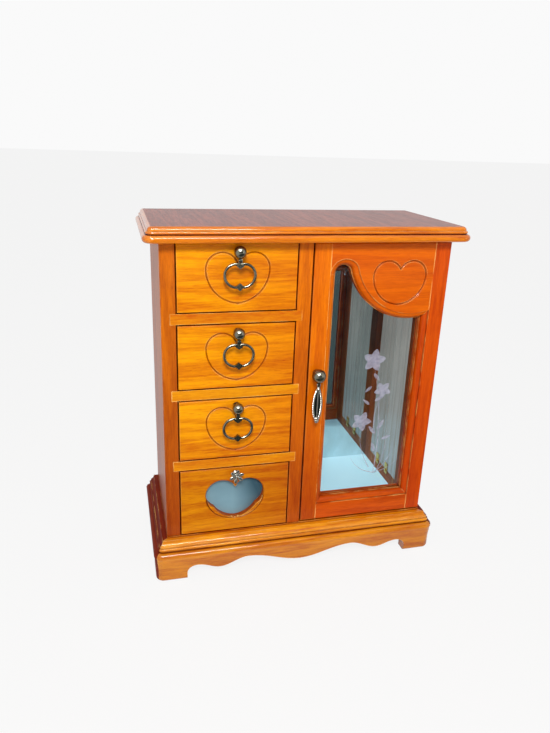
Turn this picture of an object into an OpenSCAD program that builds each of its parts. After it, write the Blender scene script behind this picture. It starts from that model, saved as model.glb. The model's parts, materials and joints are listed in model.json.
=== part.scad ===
// Small jewellery cabinet with four drawers on the left and a glazed door on the right.
// Millimetres. +Z is up and the fronts face -Y. The origin is under the middle of the whole object.

/* [Case] */
// Width across the two sides of the case
case_w = 236; // [222:1:280]
// Depth of the case from the drawer fronts to its back
case_d = 110; // [100:1:150]
// Thickness of the left side and of the divider
board_t = 11.6; // [10:0.2:14]
// Thickness of the glazed frame that is the right side
glazed_side_t = 13; // [12:0.5:16]
// Width of the stiles and rails of the glazed frame
glazed_stile_w = 20; // [16:0.5:26]
// Thickness of the bottom board
floor_t = 9; // [7:0.5:12]
// Thickness of the back panel
back_t = 4; // [3:0.5:6]
// How far the back panel is let into the sides
back_rebate = 5; // [3:0.5:7]

/* [Drawers] */
// Width of the drawer bay between the left side and the divider
drawer_bay_w = 95.2; // [90:0.2:104]
// Height of the bay of each of the three upper drawers
small_drawer_h = 54.6; // [51:0.2:64]
// Height of the bay of the bottom drawer
deep_drawer_h = 63.4; // [58:0.2:76]
// Thickness of the shelves between the drawers
shelf_t = 8.6; // [7:0.2:11]
// How deep the shelves are housed in the left side and the divider
shelf_housing = 4.6; // [2:0.2:5.4]
// Thickness of a drawer front
drawer_front_t = 11; // [9:0.5:14]
// Thickness of a drawer's sides and back
drawer_wall_t = 5; // [4:0.5:7]
// Thickness of a drawer's bottom panel
drawer_bottom_t = 2.5; // [2:0.5:4]
// How far a drawer's sides stop below the top of their bay
drawer_headroom = 9; // [6:0.5:14]
// Gap at each side of a drawer
drawer_gap = 0.7; // [0.3:0.1:1.2]
// Gap over a drawer front
drawer_top_gap = 1.2; // [0.6:0.1:2]
// How far a drawer front stops above the board that the drawer runs on
drawer_rise = 0.6; // [0.3:0.1:1.2]
// Space left behind a shut drawer
drawer_back_gap = 3; // [1:0.5:8]
// Radius of the rounded arrises of drawer fronts and boards
arris_r = 1; // [0.4:0.1:1.6]
// Thickness of the felt in the drawers
felt_t = 1.5; // [1:0.5:3]

/* [Hearts] */
// Width of the heart cut in a drawer front
drawer_heart_w = 49.4; // [44:0.2:56]
// Height of the heart cut in a drawer front
drawer_heart_h = 39.2; // [35:0.2:41]
// Radius of the lobes of a drawer's heart
drawer_heart_r = 12.45; // [12:0.05:15]
// Height of the heart's tip over the bottom of the bay
drawer_heart_lift = 7.2; // [5:0.2:9]
// Width of the heart window in the bottom drawer
window_w = 55; // [48:0.5:60]
// Height of the heart window
window_h = 41.6; // [38:0.2:46]
// Radius of the lobes of the heart window
window_r = 16; // [15:0.2:18]
// Height of the window's tip over the bottom of the bay
window_lift = 10.4; // [8:0.2:12]
// Radius of the rounded edge of the window
window_edge = 2.4; // [1:0.1:3]
// Distance from the door's heart to the glass at its left
door_heart_clear = 16.9; // [14:0.1:20]
// Distance from the door's heart to the joint at its right
door_heart_in = 6.3; // [4:0.1:9]
// Distance from the top of the door to the widest part of its heart
door_heart_drop = 26.8; // [24:0.1:27.5]
// Height of the door's heart for each millimetre of its width
door_heart_tall = 0.786; // [0.72:0.005:0.8]
// Half the width of the cut line of a heart
groove_w = 0.9; // [0.5:0.1:1.4]

/* [Door] */
// Thickness of the door
door_t = 12; // [10:0.5:14]
// Width of the flat face of a door stile
stile_w = 13.8; // [12:0.2:18]
// Width of the flat face of the bottom rail
rail_w = 16; // [13:0.5:22]
// Width and depth of the moulding round the glass
mould_w = 5.4; // [4:0.2:6]
// Radius of the small arch at the top left of the glass
arch_r = 7; // [5:0.5:9]
// Distance from the top of the door to the centre of the small arch
arch_drop = 25.1; // [22:0.1:32]
// Radius of the fan-shaped panel in the top right corner, at the glass
fan_r = 56.5; // [52:0.5:60]
// Distance from the top of the door to the centre of the fan
fan_drop = 7.8; // [4:0.1:14]
// Gap between the door and the divider
door_gap = 1.1; // [0.8:0.1:2]
// Gap over the door
door_top_gap = 1.6; // [1:0.1:3]
// Gap under the door
door_foot_gap = 1.2; // [0.8:0.1:2]
// Gap between the back of the door and the right side
door_back_gap = 0.6; // [0.4:0.1:1]
// Thickness of the glass and of the mirror
glass_t = 2; // [1.5:0.5:3]

/* [Mouldings] */
// How far the top and the plinth stand out past the case
overhang = 12; // [10:0.5:14]
// How far the top stands out past the back
back_overhang = 2; // [0:0.5:6]
// Radius of the corners of the top and the plinth, seen from above
corner_r = 8; // [8:0.5:10]
// Thickness of the top
top_t = 11.8; // [11:0.2:15]
// Height of the plinth
plinth_h = 37; // [34:0.5:46]
// How far the bottom board shows above the plinth
floor_reveal = 1; // [0.5:0.1:3]
// Width of a bracket foot from its corner, past the case
foot_w = 28; // [22:0.5:34]
// Height of the outer arches of the apron
outer_arch_h = 13.6; // [11:0.2:15]
// Height of the inner arches of the apron
inner_arch_h = 16.4; // [14:0.2:18]
// Height of the small drops between the arches
small_drop_h = 8.8; // [7:0.2:10]
// Height of the middle drop of the apron
middle_drop_h = 6.8; // [6:0.2:9]

/* [Hardware] */
// Diameter of the ball of a drawer pull
pull_ball_d = 9.4; // [8:0.1:11]
// Distance from the drawer front to the ball's centre
pull_reach = 7.4; // [6.8:0.1:9]
// How far the pull sits below the top of its bay
pull_drop = 6.8; // [6.2:0.1:8]
// Width of a drop ring
ring_w = 25.6; // [22:0.2:28]
// Height of a drop ring without its lower diamond's point
ring_h = 19.5; // [18:0.1:21]
// Radius of the wire of a drop ring
ring_wire_r = 1.1; // [0.8:0.05:1.2]
// Diameter of the ball of the door pull
door_ball_d = 11.4; // [9:0.1:12]
// Distance from the top of the door to the door pull
door_pull_drop = 107; // [80:1:180]
// Length of the drop that hangs from the door pull
pendant_l = 35; // [28:0.5:42]
// Width of the drop that hangs from the door pull
pendant_w = 9.4; // [8:0.1:12]
// Radius of the pins that the rings and the drop swing on
swing_pin_r = 0.5; // [0.4:0.05:0.7]
// Radial clearance of a moving pin
pin_play = 0.05; // [0.03:0.01:0.09]
// Height of a hinge of the door
hinge_h = 22; // [16:1:30]
// Distance from the ends of the door to its hinges
hinge_inset = 26; // [16:1:50]
// Radius of a hinge barrel
barrel_r = 2.1; // [1.8:0.1:2.4]
// Radius of a hinge pin
hinge_pin_r = 1; // [0.8:0.1:1.2]
// Thickness of a hinge leaf
leaf_t = 0.9; // [0.6:0.1:1.1]

/* [Compartment] */
// Thickness of the padded floor behind the door
pad_t = 4; // [2:0.5:6]
// Number of hooks on the necklace wheel
hooks = 6; // [4:1:8]
// Radius of the necklace wheel
wheel_r = 14; // [11:0.5:18]
// Distance from the top board to the underside of the necklace wheel
wheel_drop = 33; // [26:1:45]

/* [Hidden] */

$fn = 72;
cut = 1;
lap = 0.2;

oak = "#d9820f";
drawer_oak = "#eb9c14";
post_oak = "#cf6d16";
door_oak = "#e0700c";
inner_oak = "#b98a55";
silver = "#8d8f92";
brass = "#b58a3a";
felt = "#a9cfe0";
clear_glass = "#bcd6df";
silvered_glass = "#cfd6da";

// Places across the case, from the middle
left_x = -case_w / 2;
right_x = case_w / 2;
bay_x0 = left_x + board_t;
bay_x1 = bay_x0 + drawer_bay_w;
bay_mid = (bay_x0 + bay_x1) / 2;
room_x0 = bay_x1 + board_t;
room_x1 = right_x - glazed_side_t;

// Heights over the surface that the cabinet stands on
floor_z = plinth_h + floor_reveal;
third_z = floor_z + deep_drawer_h + shelf_t;
bay_pitch = small_drawer_h + shelf_t;
case_top = third_z + 2 * bay_pitch + small_drawer_h;
function bay_z(i) = i == 4 ? floor_z : third_z + (3 - i) * bay_pitch;
function bay_h(i) = i == 4 ? deep_drawer_h : small_drawer_h;

// Depths from the front face of the drawers and the door
inner_back = case_d - back_t;
mirror_y = inner_back - glass_t;
side_y = door_t + door_back_gap;
drawer_l = inner_back - drawer_back_gap;
door_pull_reach = pull_reach + (door_ball_d - pull_ball_d) / 2;
front_reach = max(overhang, door_pull_reach + door_ball_d / 2);
depth = front_reach + case_d + back_overhang;
front_y = front_reach - depth / 2;

// The door and its glass opening
door_x0 = room_x0 + door_gap;
door_z0 = floor_z + door_foot_gap;
door_z1 = case_top - door_top_gap;
left_joint = door_x0 + stile_w;
right_joint = right_x - stile_w;
rail_joint = door_z0 + rail_w;
glass_x0 = left_joint + mould_w;
glass_x1 = right_joint - mould_w;
glass_z0 = rail_joint + mould_w;
arch_c = [glass_x0 + arch_r, door_z1 - arch_drop];
fan_z = door_z1 - fan_drop;
curve_lap = 0.3;
fan_c = [arch_c.x + sqrt(pow(fan_r + arch_r - curve_lap, 2) - pow(fan_z - arch_c.y, 2)), fan_z];
glass_seat = 4;
glass_margin = 3.6;
glass_y = mould_w + 0.8;
bead_t = door_t - glass_y - glass_t - 0.4;
function fan_edge(x, grow) = fan_c.y - sqrt(pow(fan_r - grow, 2) - pow(x - fan_c.x, 2));

// The edge moulding is worked outwards from the line of the corner centres
corner_in = overhang - corner_r;
foot_x = case_w / 2 + overhang - foot_w;

// Hinges of the door
barrel_gap = 0.3;
hinge_x = right_x + barrel_gap + barrel_r;
hinge_y = door_t + door_back_gap / 2;
leaf_w = 9;
knuckle_play = 0.1;
hinge_zs = [door_z0 + hinge_inset, door_z1 - hinge_inset - hinge_h];

// Pulls
neck_r = 1.5;
collar_r = 2.7;
collar_t = 0.8;
bolt_r = 1.1;
bolt_play = 0.1;
bolt_end = 0.6;
nut_r = 2.6;
nut_t = 1.8;
lug_t = 1.2;
lug_r = 1.3;
cheek_t = 0.8;
cheek_play = 0.15;
cheek_r = 1.1;
yoke_t = 1.6;
eye_gap = 1.5;
eye_play = 0.3;
ring_eye = pull_ball_d / 2 + eye_gap;
ring_top = 1.5;
diamonds = [[6.4, 4.6], [7, 6]];
diamond_t = 2.4;
diamond_rim = 1;
diamond_deep = 0.7;
arc_gap = 3;
arc_part = 1;
ring_lobe_r = 0.375 * ring_w - ring_wire_r;
pendant_eye = door_ball_d / 2 + eye_gap;

// Necklace wheel
wheel_x = (room_x0 + room_x1) / 2;
wheel_y = (side_y + mirror_y) / 2;
wheel_t = 8;
wheel_z = case_top - wheel_drop;
post_r = 2;
post_head_r = 4;
post_head_t = 2;
flange_r = wheel_r * 0.8;
flange_t = 3;
hook_r = 3.2;
hook_wire_r = 0.8;
hook_stub = 4.8;

// Moves what is drawn from the front face of the drawers to the part's own origin
module from_front() translate([0, front_y, 0]) children();

// A plain board between two opposite corners
module board(lo, hi) translate(lo) cube(hi - lo);

// An upright rectangle seen from above, with its two front corners rounded
module round_fronted(w, d, r) {
    translate([r, 0]) square([w - 2 * r, d]);
    translate([0, r]) square([w, d - r]);
    for (x = [r, w - r]) translate([x, r]) circle(r = r);
}

// A board whose four front arrises are rounded
module faced_board(lo, hi, r = arris_r) {
    size = hi - lo;
    translate(lo) intersection() {
        linear_extrude(size.z) round_fronted(size.x, size.y, r);
        rotate([90, 0, 90]) linear_extrude(size.x) mirror([1, -1]) round_fronted(size.z, size.y, r);
    }
}

// Turns a flat drawing so that it faces the viewer, with its depth towards -Y
module facing(x, z, y = 0) translate([x, y, z]) rotate([90, 0, 0]) children();

// Sweeps a profile along an arc of the flat drawing
module arc_sweep(centre, radius, from, to)
    translate(centre) rotate([0, 0, from]) rotate_extrude(angle = to - from)
        translate([radius, 0]) children();

// A heart from four arcs, drawn about the middle of its lobes
heart_lobe = 0.2626;
function heart_side_r(w, h, r) = (pow(h - r, 2) + w * w / 4) / w;
module heart(w, h, r, grow = 0) {
    side_r = heart_side_r(w, h, r);
    for (s = [-1, 1]) translate([s * (w / 2 - r), 0]) circle(r = r + grow);
    intersection() {
        lens(side_r - w / 2, side_r + grow);
        translate([-w, -2 * h]) square([2 * w, 2 * h]);
    }
}
module lens(out, r) intersection() {
    translate([-out, 0]) circle(r = r);
    translate([out, 0]) circle(r = r);
}

// Sweeps a profile round the outline of a heart: short is an angle left out at its dip and its tip,
// part one left out where a lobe meets a side, and bridge the length of the straight piece over that
joint_swell = 0.03;
module heart_sweep(w, h, r, short = 0, part = 0, bridge = 0) {
    side_r = heart_side_r(w, h, r);
    out = side_r - w / 2;
    lobe = w / 2 - r;
    for (s = [0, 1]) mirror([s, 0, 0]) {
        arc_sweep([lobe, 0, 0], r, part, acos(-lobe / r) - short) children();
        arc_sweep([-out, 0, 0], side_r, short - atan2(h - r, out), -part) children();
        if (bridge > 0) translate([w / 2, bridge / 2, -joint_swell]) rotate([90, 0, 0])
            linear_extrude(bridge) children();
    }
}

groove_part = 0.3;
groove_bridge = 0.5;
module vee_groove()
    polygon([[-groove_w, 0], [-groove_w, cut], [groove_w, cut], [groove_w, 0], [0, -groove_w]]);

// A board with one moulding worked round all its edges: the profile starts at the corner centres
module moulded_board(lo, hi, r, z0, z1) {
    corners = [[hi.x - r, hi.y - r], [lo.x + r, hi.y - r], [lo.x + r, lo.y + r], [hi.x - r, lo.y + r]];
    spans = [hi.y - lo.y - 2 * r, hi.x - lo.x - 2 * r];
    board([lo.x + r, lo.y + r, z0], [hi.x - r, hi.y - r, z1]);
    for (k = [0:3]) translate(corners[k]) rotate([0, 0, 90 * k]) {
        rotate_extrude(angle = 90) children();
        rotate([90, 0, 0]) linear_extrude(spans[k % 2]) children();
    }
}

// Edge of the top: rounded arris, bead, quirk and bullnose
module top_profile() {
    ovolo_r = 3.3;
    bead_r = 1.2;
    nose_r = 2.9;
    bead_x = corner_r - 2.5 - bead_r;
    translate([0, case_top]) {
        difference() {
            square([bead_x, top_t]);
            translate([bead_x - ovolo_r, top_t - ovolo_r]) difference() {
                square(ovolo_r + cut);
                circle(r = ovolo_r);
            }
        }
        translate([bead_x, 2 * nose_r + bead_r + 0.3]) circle(r = bead_r);
        square([corner_r - nose_r, 2 * nose_r]);
        translate([corner_r - nose_r, nose_r]) circle(r = nose_r);
    }
}

// Edge of the plinth: ledge, cove, bead, quirk, bullnose and a face that falls in to the foot
module plinth_profile() {
    nose_r = 3.7;
    nose_z = plinth_h - 13.4;
    bead_r = 1.4;
    bead_x = corner_r - 3.4 - bead_r;
    bead_z = plinth_h - 7.2;
    cove_r = 4.6;
    toe_r = 2.6;
    foot_in = 1.4;
    difference() {
        union() {
            square([bead_x, plinth_h]);
            translate([bead_x, bead_z]) circle(r = bead_r);
            translate([0, nose_z]) square([corner_r - nose_r, nose_r]);
            translate([corner_r - nose_r, nose_z]) circle(r = nose_r);
            polygon([[0, toe_r], [corner_r - foot_in, toe_r], [corner_r - foot_in, nose_z / 2],
                [corner_r - 0.3, nose_z - 0.4], [0, nose_z]]);
            square([corner_r - foot_in - toe_r, toe_r]);
            translate([corner_r - foot_in - toe_r, toe_r]) circle(r = toe_r);
        }
        translate([cove_r, plinth_h]) circle(r = cove_r - 0.2);
    }
}

module plinth_ring() difference() {
    moulded_board([left_x - overhang, -overhang], [right_x + overhang, case_d + overhang], corner_r,
        0, plinth_h) plinth_profile();
    board([left_x, 0, -cut], [right_x, case_d + 2 * overhang, plinth_h + cut]);
}

// Scalloped underside of an apron as [place, height] turns, joined by smooth waves
function wave(a, b, t) = a + (b - a) * (1 - cos(180 * t)) / 2;
wave_steps = 8;
foot_step = 6.6;
outer_arch_in = 9;
small_drop_in = 29;
inner_arch_in = 54;
function scallop(turns) = [for (k = [0:len(turns) - 2]) for (s = [0:wave_steps - 1])
    [turns[k].x + (turns[k + 1].x - turns[k].x) * s / wave_steps,
     wave(turns[k].y, turns[k + 1].y, s / wave_steps)]];
function quarter_round(a, b) = [for (s = [0:wave_steps - 1]) let (t = 90 * s / wave_steps)
    [a.x + (b.x - a.x) * (1 - cos(t)), a.y + (b.y - a.y) * sin(t)]];
module apron_cut(half, turns) {
    waves = [for (k = [1:len(turns) - 1]) turns[k]];
    right = concat(quarter_round(turns[0], turns[1]), scallop(concat(waves, [[0, turns[len(turns) - 1].y]])));
    left = [for (k = [len(right) - 1:-1:0]) [-right[k].x, right[k].y]];
    polygon(concat([[half, -cut]], right, left, [[-half, -cut]]));
}
front_turns = [[foot_x, foot_step], [foot_x - outer_arch_in, outer_arch_h],
    [foot_x - small_drop_in, small_drop_h], [foot_x - inner_arch_in, inner_arch_h], [0, middle_drop_h]];
side_half = (case_d + overhang) / 2 - foot_w;
side_turns = [[side_half, foot_step], [side_half - outer_arch_in, outer_arch_h],
    [0, middle_drop_h]];

// Keeps the part of the plinth in front of the case, between the mitres
module front_mitre() translate([0, 0, -cut]) linear_extrude(plinth_h + 2 * cut)
    polygon([[left_x, 0], [left_x - overhang - cut, -overhang - cut],
        [right_x + overhang + cut, -overhang - cut], [right_x, 0]]);
module side_mitre(s) translate([0, 0, -cut]) linear_extrude(plinth_h + 2 * cut)
    polygon([[s * right_x, 0], [s * (right_x + overhang + cut), -overhang - cut],
        [s * (right_x + overhang + cut), case_d], [s * right_x, case_d]]);

module base_front() color(oak) from_front() difference() {
    intersection() {
        plinth_ring();
        front_mitre();
    }
    facing(0, 0, cut) linear_extrude(overhang + 2 * cut) apron_cut(foot_x, front_turns);
}

module base_side(s) difference() {
    intersection() {
        plinth_ring();
        side_mitre(s);
    }
    translate([s * right_x - s * cut, (case_d - overhang) / 2, 0]) rotate([90, 0, s * 90])
        linear_extrude(overhang + 2 * cut) apron_cut(side_half, side_turns);
}
module base_left() color(oak) from_front() base_side(-1);
module base_right() color(oak) from_front() base_side(1);

base_back_t = 8;
base_back_z = 9;
module base_back() color(inner_oak) from_front()
    board([left_x, case_d - base_back_t, base_back_z], [right_x, case_d, floor_z - floor_t]);

// Triangular glue blocks in the corners of the plinth, under the bottom board
block_w = 16;
block_z = 6;
module base_blocks() color(inner_oak) from_front() for (s = [-1, 1]) for (back = [0, 1])
    translate([s * right_x, back ? case_d - base_back_t : 0, block_z])
        linear_extrude(floor_z - floor_t - block_z)
            polygon([[0, 0], [-s * block_w, 0], [0, (back ? -1 : 1) * block_w]]);

module top_board() color(oak) from_front()
    moulded_board([left_x - overhang, -overhang], [right_x + overhang, case_d + back_overhang],
        corner_r, case_top, case_top + top_t) top_profile();

module housings(x) for (i = [1:3])
    board([x - shelf_housing, -cut, bay_z(i) - shelf_t], [x + shelf_housing, inner_back, bay_z(i)]);

module left_side() color(post_oak) from_front() difference() {
    faced_board([left_x, 0, floor_z], [bay_x0, case_d, case_top]);
    housings(bay_x0);
    board([bay_x0 - back_rebate, inner_back, floor_z - cut], [bay_x0 + cut, case_d + cut, case_top + cut]);
}

module divider() color(post_oak) from_front() difference() {
    faced_board([bay_x1, 0, floor_z], [room_x0, inner_back, case_top]);
    housings(bay_x1);
}

module shelf(i) color(drawer_oak) from_front() board(
    [bay_x0 - shelf_housing, 0, bay_z(i) - shelf_t], [bay_x1 + shelf_housing, inner_back, bay_z(i)]);
module shelf_1() shelf(1);
module shelf_2() shelf(2);
module shelf_3() shelf(3);

module bottom_board() color(oak) from_front()
    board([left_x, 0, floor_z - floor_t], [right_x, case_d, floor_z]);

module back_panel() color(inner_oak) from_front()
    board([bay_x0 - back_rebate, inner_back, floor_z], [room_x1 + back_rebate, case_d, case_top]);

module compartment_mirror() color(silvered_glass) from_front()
    board([room_x0, mirror_y, floor_z], [room_x1, inner_back, case_top]);
module compartment_pad() color(felt) from_front()
    board([room_x0, side_y, floor_z], [room_x1, mirror_y, floor_z + pad_t]);

// The glazed right side
pane_seat = 4;
pane_play = 0.2;
pane_y0 = side_y + glazed_stile_w;
pane_y1 = case_d - glazed_stile_w - back_t;
pane_z0 = floor_z + glazed_stile_w;
pane_z1 = case_top - glazed_stile_w;
module pane_rebate(play) board(
    [room_x1 - (play > 0 ? cut : 0), pane_y0 - pane_seat - play, pane_z0 - pane_seat - play],
    [room_x1 + glass_t, pane_y1 + pane_seat + play, pane_z1 + pane_seat + play]);

module side_front_stile() color(door_oak) from_front() difference() {
    board([room_x1, side_y, floor_z], [right_x, pane_y0, case_top]);
    pane_rebate(pane_play);
    for (z = hinge_zs) board([leaf_x0, side_y - cut, z],
        [right_x + cut, hinge_y + knuckle_play + leaf_t, z + hinge_h]);
}

module side_rear_stile() color(post_oak) from_front() difference() {
    board([room_x1, pane_y1, floor_z], [right_x, case_d, case_top]);
    pane_rebate(pane_play);
    board([room_x1 - cut, inner_back, floor_z - cut],
        [room_x1 + back_rebate, case_d + cut, case_top + cut]);
}

module side_rails() color(post_oak) from_front() difference() {
    for (span = [[floor_z, pane_z0], [pane_z1, case_top]])
        board([room_x1, pane_y0, span[0]], [right_x, pane_y1, span[1]]);
    pane_rebate(pane_play);
}

module side_glass() color(clear_glass, 0.35) from_front() pane_rebate(0);

// Brass clips screwed to the inside of the frame, each over the edge of the pane
clip_w = 6;
clip_h = 11;
clip_t = 0.8;
clip_screw_r = 1.4;
clip_screw_h = 0.7;
clip_lap = 3;
clip_places = [0.3, 0.7];
module side_glass_clips() color(brass) from_front() for (place = clip_places) for (side = [-1, 1]) {
    edge = side > 0 ? pane_z1 : pane_z0;
    y = pane_y0 + place * (pane_y1 - pane_y0);
    translate([room_x1 - clip_t, y, edge + side * (clip_h / 2 - clip_lap)]) {
        translate([0, -clip_w / 2, -clip_h / 2]) cube([clip_t, clip_w, clip_h]);
        translate([0, 0, side * clip_h / 5]) rotate([0, -90, 0])
            cylinder(h = clip_screw_h, r = clip_screw_r);
    }
}

// Hinges
module knuckle(z0, z1, bore) translate([hinge_x, hinge_y, z0]) difference() {
    cylinder(h = z1 - z0, r = barrel_r);
    translate([0, 0, -cut]) cylinder(h = z1 - z0 + 2 * cut, r = bore);
}
third_h = hinge_h / 3;
leaf_x0 = hinge_x - barrel_r - leaf_w;
leaf_x1 = hinge_x - hinge_pin_r - 0.4;
module leaf(z, y0, cuts) difference() {
    board([leaf_x0, y0, z], [leaf_x1, y0 + leaf_t, z + hinge_h]);
    for (c = cuts)
        board([right_x + barrel_gap / 2, y0 - cut, z + c[0]], [hinge_x, y0 + leaf_t + cut, z + c[1]]);
}
module hinge_case_leaves() color(brass) from_front() for (z = hinge_zs) {
    leaf(z, hinge_y + knuckle_play, [[third_h - knuckle_play, 2 * third_h + knuckle_play]]);
    for (k = [0, 2]) knuckle(z + k * third_h + (k == 2 ? knuckle_play : 0),
        z + (k + 1) * third_h - (k == 0 ? knuckle_play : 0), hinge_pin_r);
}
module hinge_door_leaves() color(brass) from_front() for (z = hinge_zs) {
    leaf(z, hinge_y - knuckle_play - leaf_t,
        [[-cut, third_h + knuckle_play], [2 * third_h - knuckle_play, hinge_h + cut]]);
    knuckle(z + third_h + knuckle_play, z + 2 * third_h - knuckle_play, hinge_pin_r + pin_play);
}
pin_head_h = 1.2;
module hinge_pins() color(brass) from_front() for (z = hinge_zs) {
    translate([hinge_x, hinge_y, z]) cylinder(h = hinge_h, r = hinge_pin_r);
    for (end = [z - pin_head_h, z + hinge_h]) translate([hinge_x, hinge_y, end])
        cylinder(h = pin_head_h, r = barrel_r - 0.5);
}

// Magnetic catch behind the door's left stile
catch_w = 7;
catch_h = 24;
catch_z = (door_z0 + door_z1) / 2;
catch_gap = 0.2;
strike_t = 0.8;
magnet_t = 9;
magnet_y = door_t + strike_t + catch_gap;
module catch_magnet() color(silver) from_front()
    board([room_x0, magnet_y, catch_z - catch_h / 2],
        [room_x0 + catch_w, magnet_y + magnet_t, catch_z + catch_h / 2]);
module catch_strike() color(silver) from_front()
    board([door_x0 + 1, door_t, catch_z - catch_h / 2],
        [door_x0 + catch_w, door_t + strike_t, catch_z + catch_h / 2]);

// Turning wheel for necklaces, hung under the top on a headed post
module wheel_post() color(brass) from_front() translate([wheel_x, wheel_y, 0]) {
    translate([0, 0, case_top - flange_t]) cylinder(h = flange_t, r = flange_r);
    translate([0, 0, wheel_z - knuckle_play]) cylinder(h = wheel_drop + knuckle_play, r = post_r);
    translate([0, 0, wheel_z - knuckle_play - post_head_t]) cylinder(h = post_head_t, r = post_head_r);
}
module necklace_wheel() color(post_oak) from_front() translate([wheel_x, wheel_y, wheel_z])
    difference() {
        rotate_extrude() {
            square([wheel_r - wheel_t / 4, wheel_t]);
            translate([wheel_r - wheel_t / 4, wheel_t / 4]) circle(r = wheel_t / 4);
            translate([wheel_r - wheel_t / 4, wheel_t * 3 / 4]) circle(r = wheel_t / 4);
        }
        translate([0, 0, -cut]) cylinder(h = wheel_t + 2 * cut, r = post_r + pin_play);
        for (k = [0:hooks - 1]) rotate([0, 0, 360 / hooks * k])
            translate([wheel_r - hook_stub, 0, wheel_t / 2]) rotate([0, 90, 0])
                cylinder(h = 2 * hook_stub, r = hook_wire_r);
    }
module necklace_hooks() color(brass) from_front() translate([wheel_x, wheel_y, wheel_z + wheel_t / 2])
    for (k = [0:hooks - 1]) rotate([0, 0, 360 / hooks * k]) {
        translate([wheel_r - hook_stub, 0, 0]) rotate([0, 90, 0])
            cylinder(h = 2 * hook_stub, r = hook_wire_r);
        translate([wheel_r + hook_stub, 0, -hook_r]) rotate([90, 0, 0]) {
            arc_sweep([0, 0, 0], hook_r, -180, 90) circle(r = hook_wire_r);
            translate([-hook_r, 0, 0]) sphere(r = hook_wire_r * 1.5);
        }
    }

// The glass opening of the door grown by a margin, and the same swept with the moulding
module opening(grow) difference() {
    union() {
        translate([glass_x0 - grow, glass_z0 - grow])
            square([glass_x1 - glass_x0 + 2 * grow, arch_c.y - glass_z0 + grow]);
        translate(arch_c) circle(r = arch_r + grow);
    }
    translate(fan_c) circle(r = fan_r - grow);
}

// Shape of the moulding: how it is cut back from the front at each distance from the glass
ovolo_r = mould_w - 0.9;
module sticking() difference() {
    translate([-cut, -mould_w]) square([mould_w + cut, mould_w + cut]);
    translate([mould_w, -mould_w]) circle(r = ovolo_r);
}
module sticking_prism(length, span) {
    linear_extrude(length) {
        translate([span, 0]) sticking();
        mirror([1, 0]) sticking();
        translate([-cut / 2, -mould_w]) square([span + cut, mould_w + cut]);
    }
}
module opening_moulding() {
    w = glass_x1 - glass_x0;
    h = 2 * (arch_c.y - glass_z0);
    difference() {
        union() {
            intersection() {
                translate([glass_x0, 0, glass_z0 - 2 * mould_w]) mirror([0, 1, 0])
                    sticking_prism(arch_c.y - glass_z0 + 2 * mould_w, w);
                translate([glass_x0 - 2 * mould_w, 0, glass_z0]) rotate([90, 0, 90]) rotate([0, 0, 90])
                    sticking_prism(w + 4 * mould_w, h);
            }
            facing(arch_c.x, arch_c.y) rotate_extrude(angle = 180) {
                translate([arch_r, 0]) sticking();
                translate([0, -mould_w]) square([arch_r, mould_w + cut]);
            }
        }
        facing(fan_c.x, fan_c.y) rotate_extrude() difference() {
            translate([0, -mould_w - cut]) square([fan_r, mould_w + 2 * cut]);
            translate([fan_r, 0]) mirror([1, 0]) sticking();
        }
    }
}

module door_blank() difference() {
    faced_board([door_x0, 0, door_z0], [right_x, door_t, door_z1]);
    opening_moulding();
    facing(0, 0, door_t + cut) linear_extrude(door_t + 2 * cut) opening(0);
    facing(0, 0, door_t + cut) linear_extrude(door_t - glass_y + cut) opening(glass_seat);
    for (z = hinge_zs) board([leaf_x0, hinge_y - knuckle_play - leaf_t, z],
        [right_x + cut, door_t + cut, z + hinge_h]);
}
module door_piece() intersection() {
    door_blank();
    facing(0, 0, door_t + cut) linear_extrude(door_t + 2 * cut) children();
}
fan_meet = fan_edge(glass_x1, 0);
fan_joint = fan_edge(right_joint, mould_w + lap);
module door_left_stile() color(door_oak) from_front() difference() {
    door_piece() polygon([[door_x0 - cut, door_z0 - cut], [left_joint, door_z0 - cut],
        [left_joint, rail_joint], [glass_x0, glass_z0], [glass_x0, arch_c.y], [left_joint, arch_c.y],
        [left_joint, door_z1 + cut], [door_x0 - cut, door_z1 + cut]]);
    translate([pull_x, -cut, pull_z]) rotate([-90, 0, 0])
        cylinder(h = door_t + 2 * cut, r = bolt_r + bolt_play);
}
module door_right_stile() color(door_oak) from_front()
    door_piece() polygon([[right_x + cut, door_z0 - cut], [right_joint, door_z0 - cut],
        [right_joint, rail_joint], [glass_x1, glass_z0], [glass_x1, fan_meet], [right_joint, fan_joint],
        [right_joint, door_z1 + cut], [right_x + cut, door_z1 + cut]]);
module door_bottom_rail() color(door_oak) from_front()
    door_piece() polygon([[left_joint, door_z0 - cut], [left_joint, rail_joint], [glass_x0, glass_z0],
        [glass_x1, glass_z0], [right_joint, rail_joint], [right_joint, door_z0 - cut]]);
door_heart_z = door_z1 - door_heart_drop;
door_heart_x0 = fan_c.x - sqrt(pow(fan_r, 2) - pow(fan_z - door_heart_z, 2)) + door_heart_clear;
door_heart_w = right_joint - door_heart_in - door_heart_x0;
door_heart_h = door_heart_w * door_heart_tall;
door_heart_r = door_heart_w * heart_lobe;
door_heart_x = door_heart_x0 + door_heart_w / 2;
module door_fan_panel() color(door_oak) from_front() difference() {
    door_piece() polygon([[left_joint, door_z1 + cut], [left_joint, arch_c.y], [arch_c.x, arch_c.y],
        [arch_c.x, fan_z - fan_r - cut], [fan_c.x, fan_z - fan_r - cut], [glass_x1, fan_meet],
        [right_joint, fan_joint], [right_joint, door_z1 + cut]]);
    facing(door_heart_x, door_heart_z)
        heart_sweep(door_heart_w, door_heart_h, door_heart_r, 0, groove_part, groove_bridge) vee_groove();
}
module door_glass() color(clear_glass, 0.35) from_front()
    facing(0, 0, glass_y + glass_t) linear_extrude(glass_t) opening(glass_margin);

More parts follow.
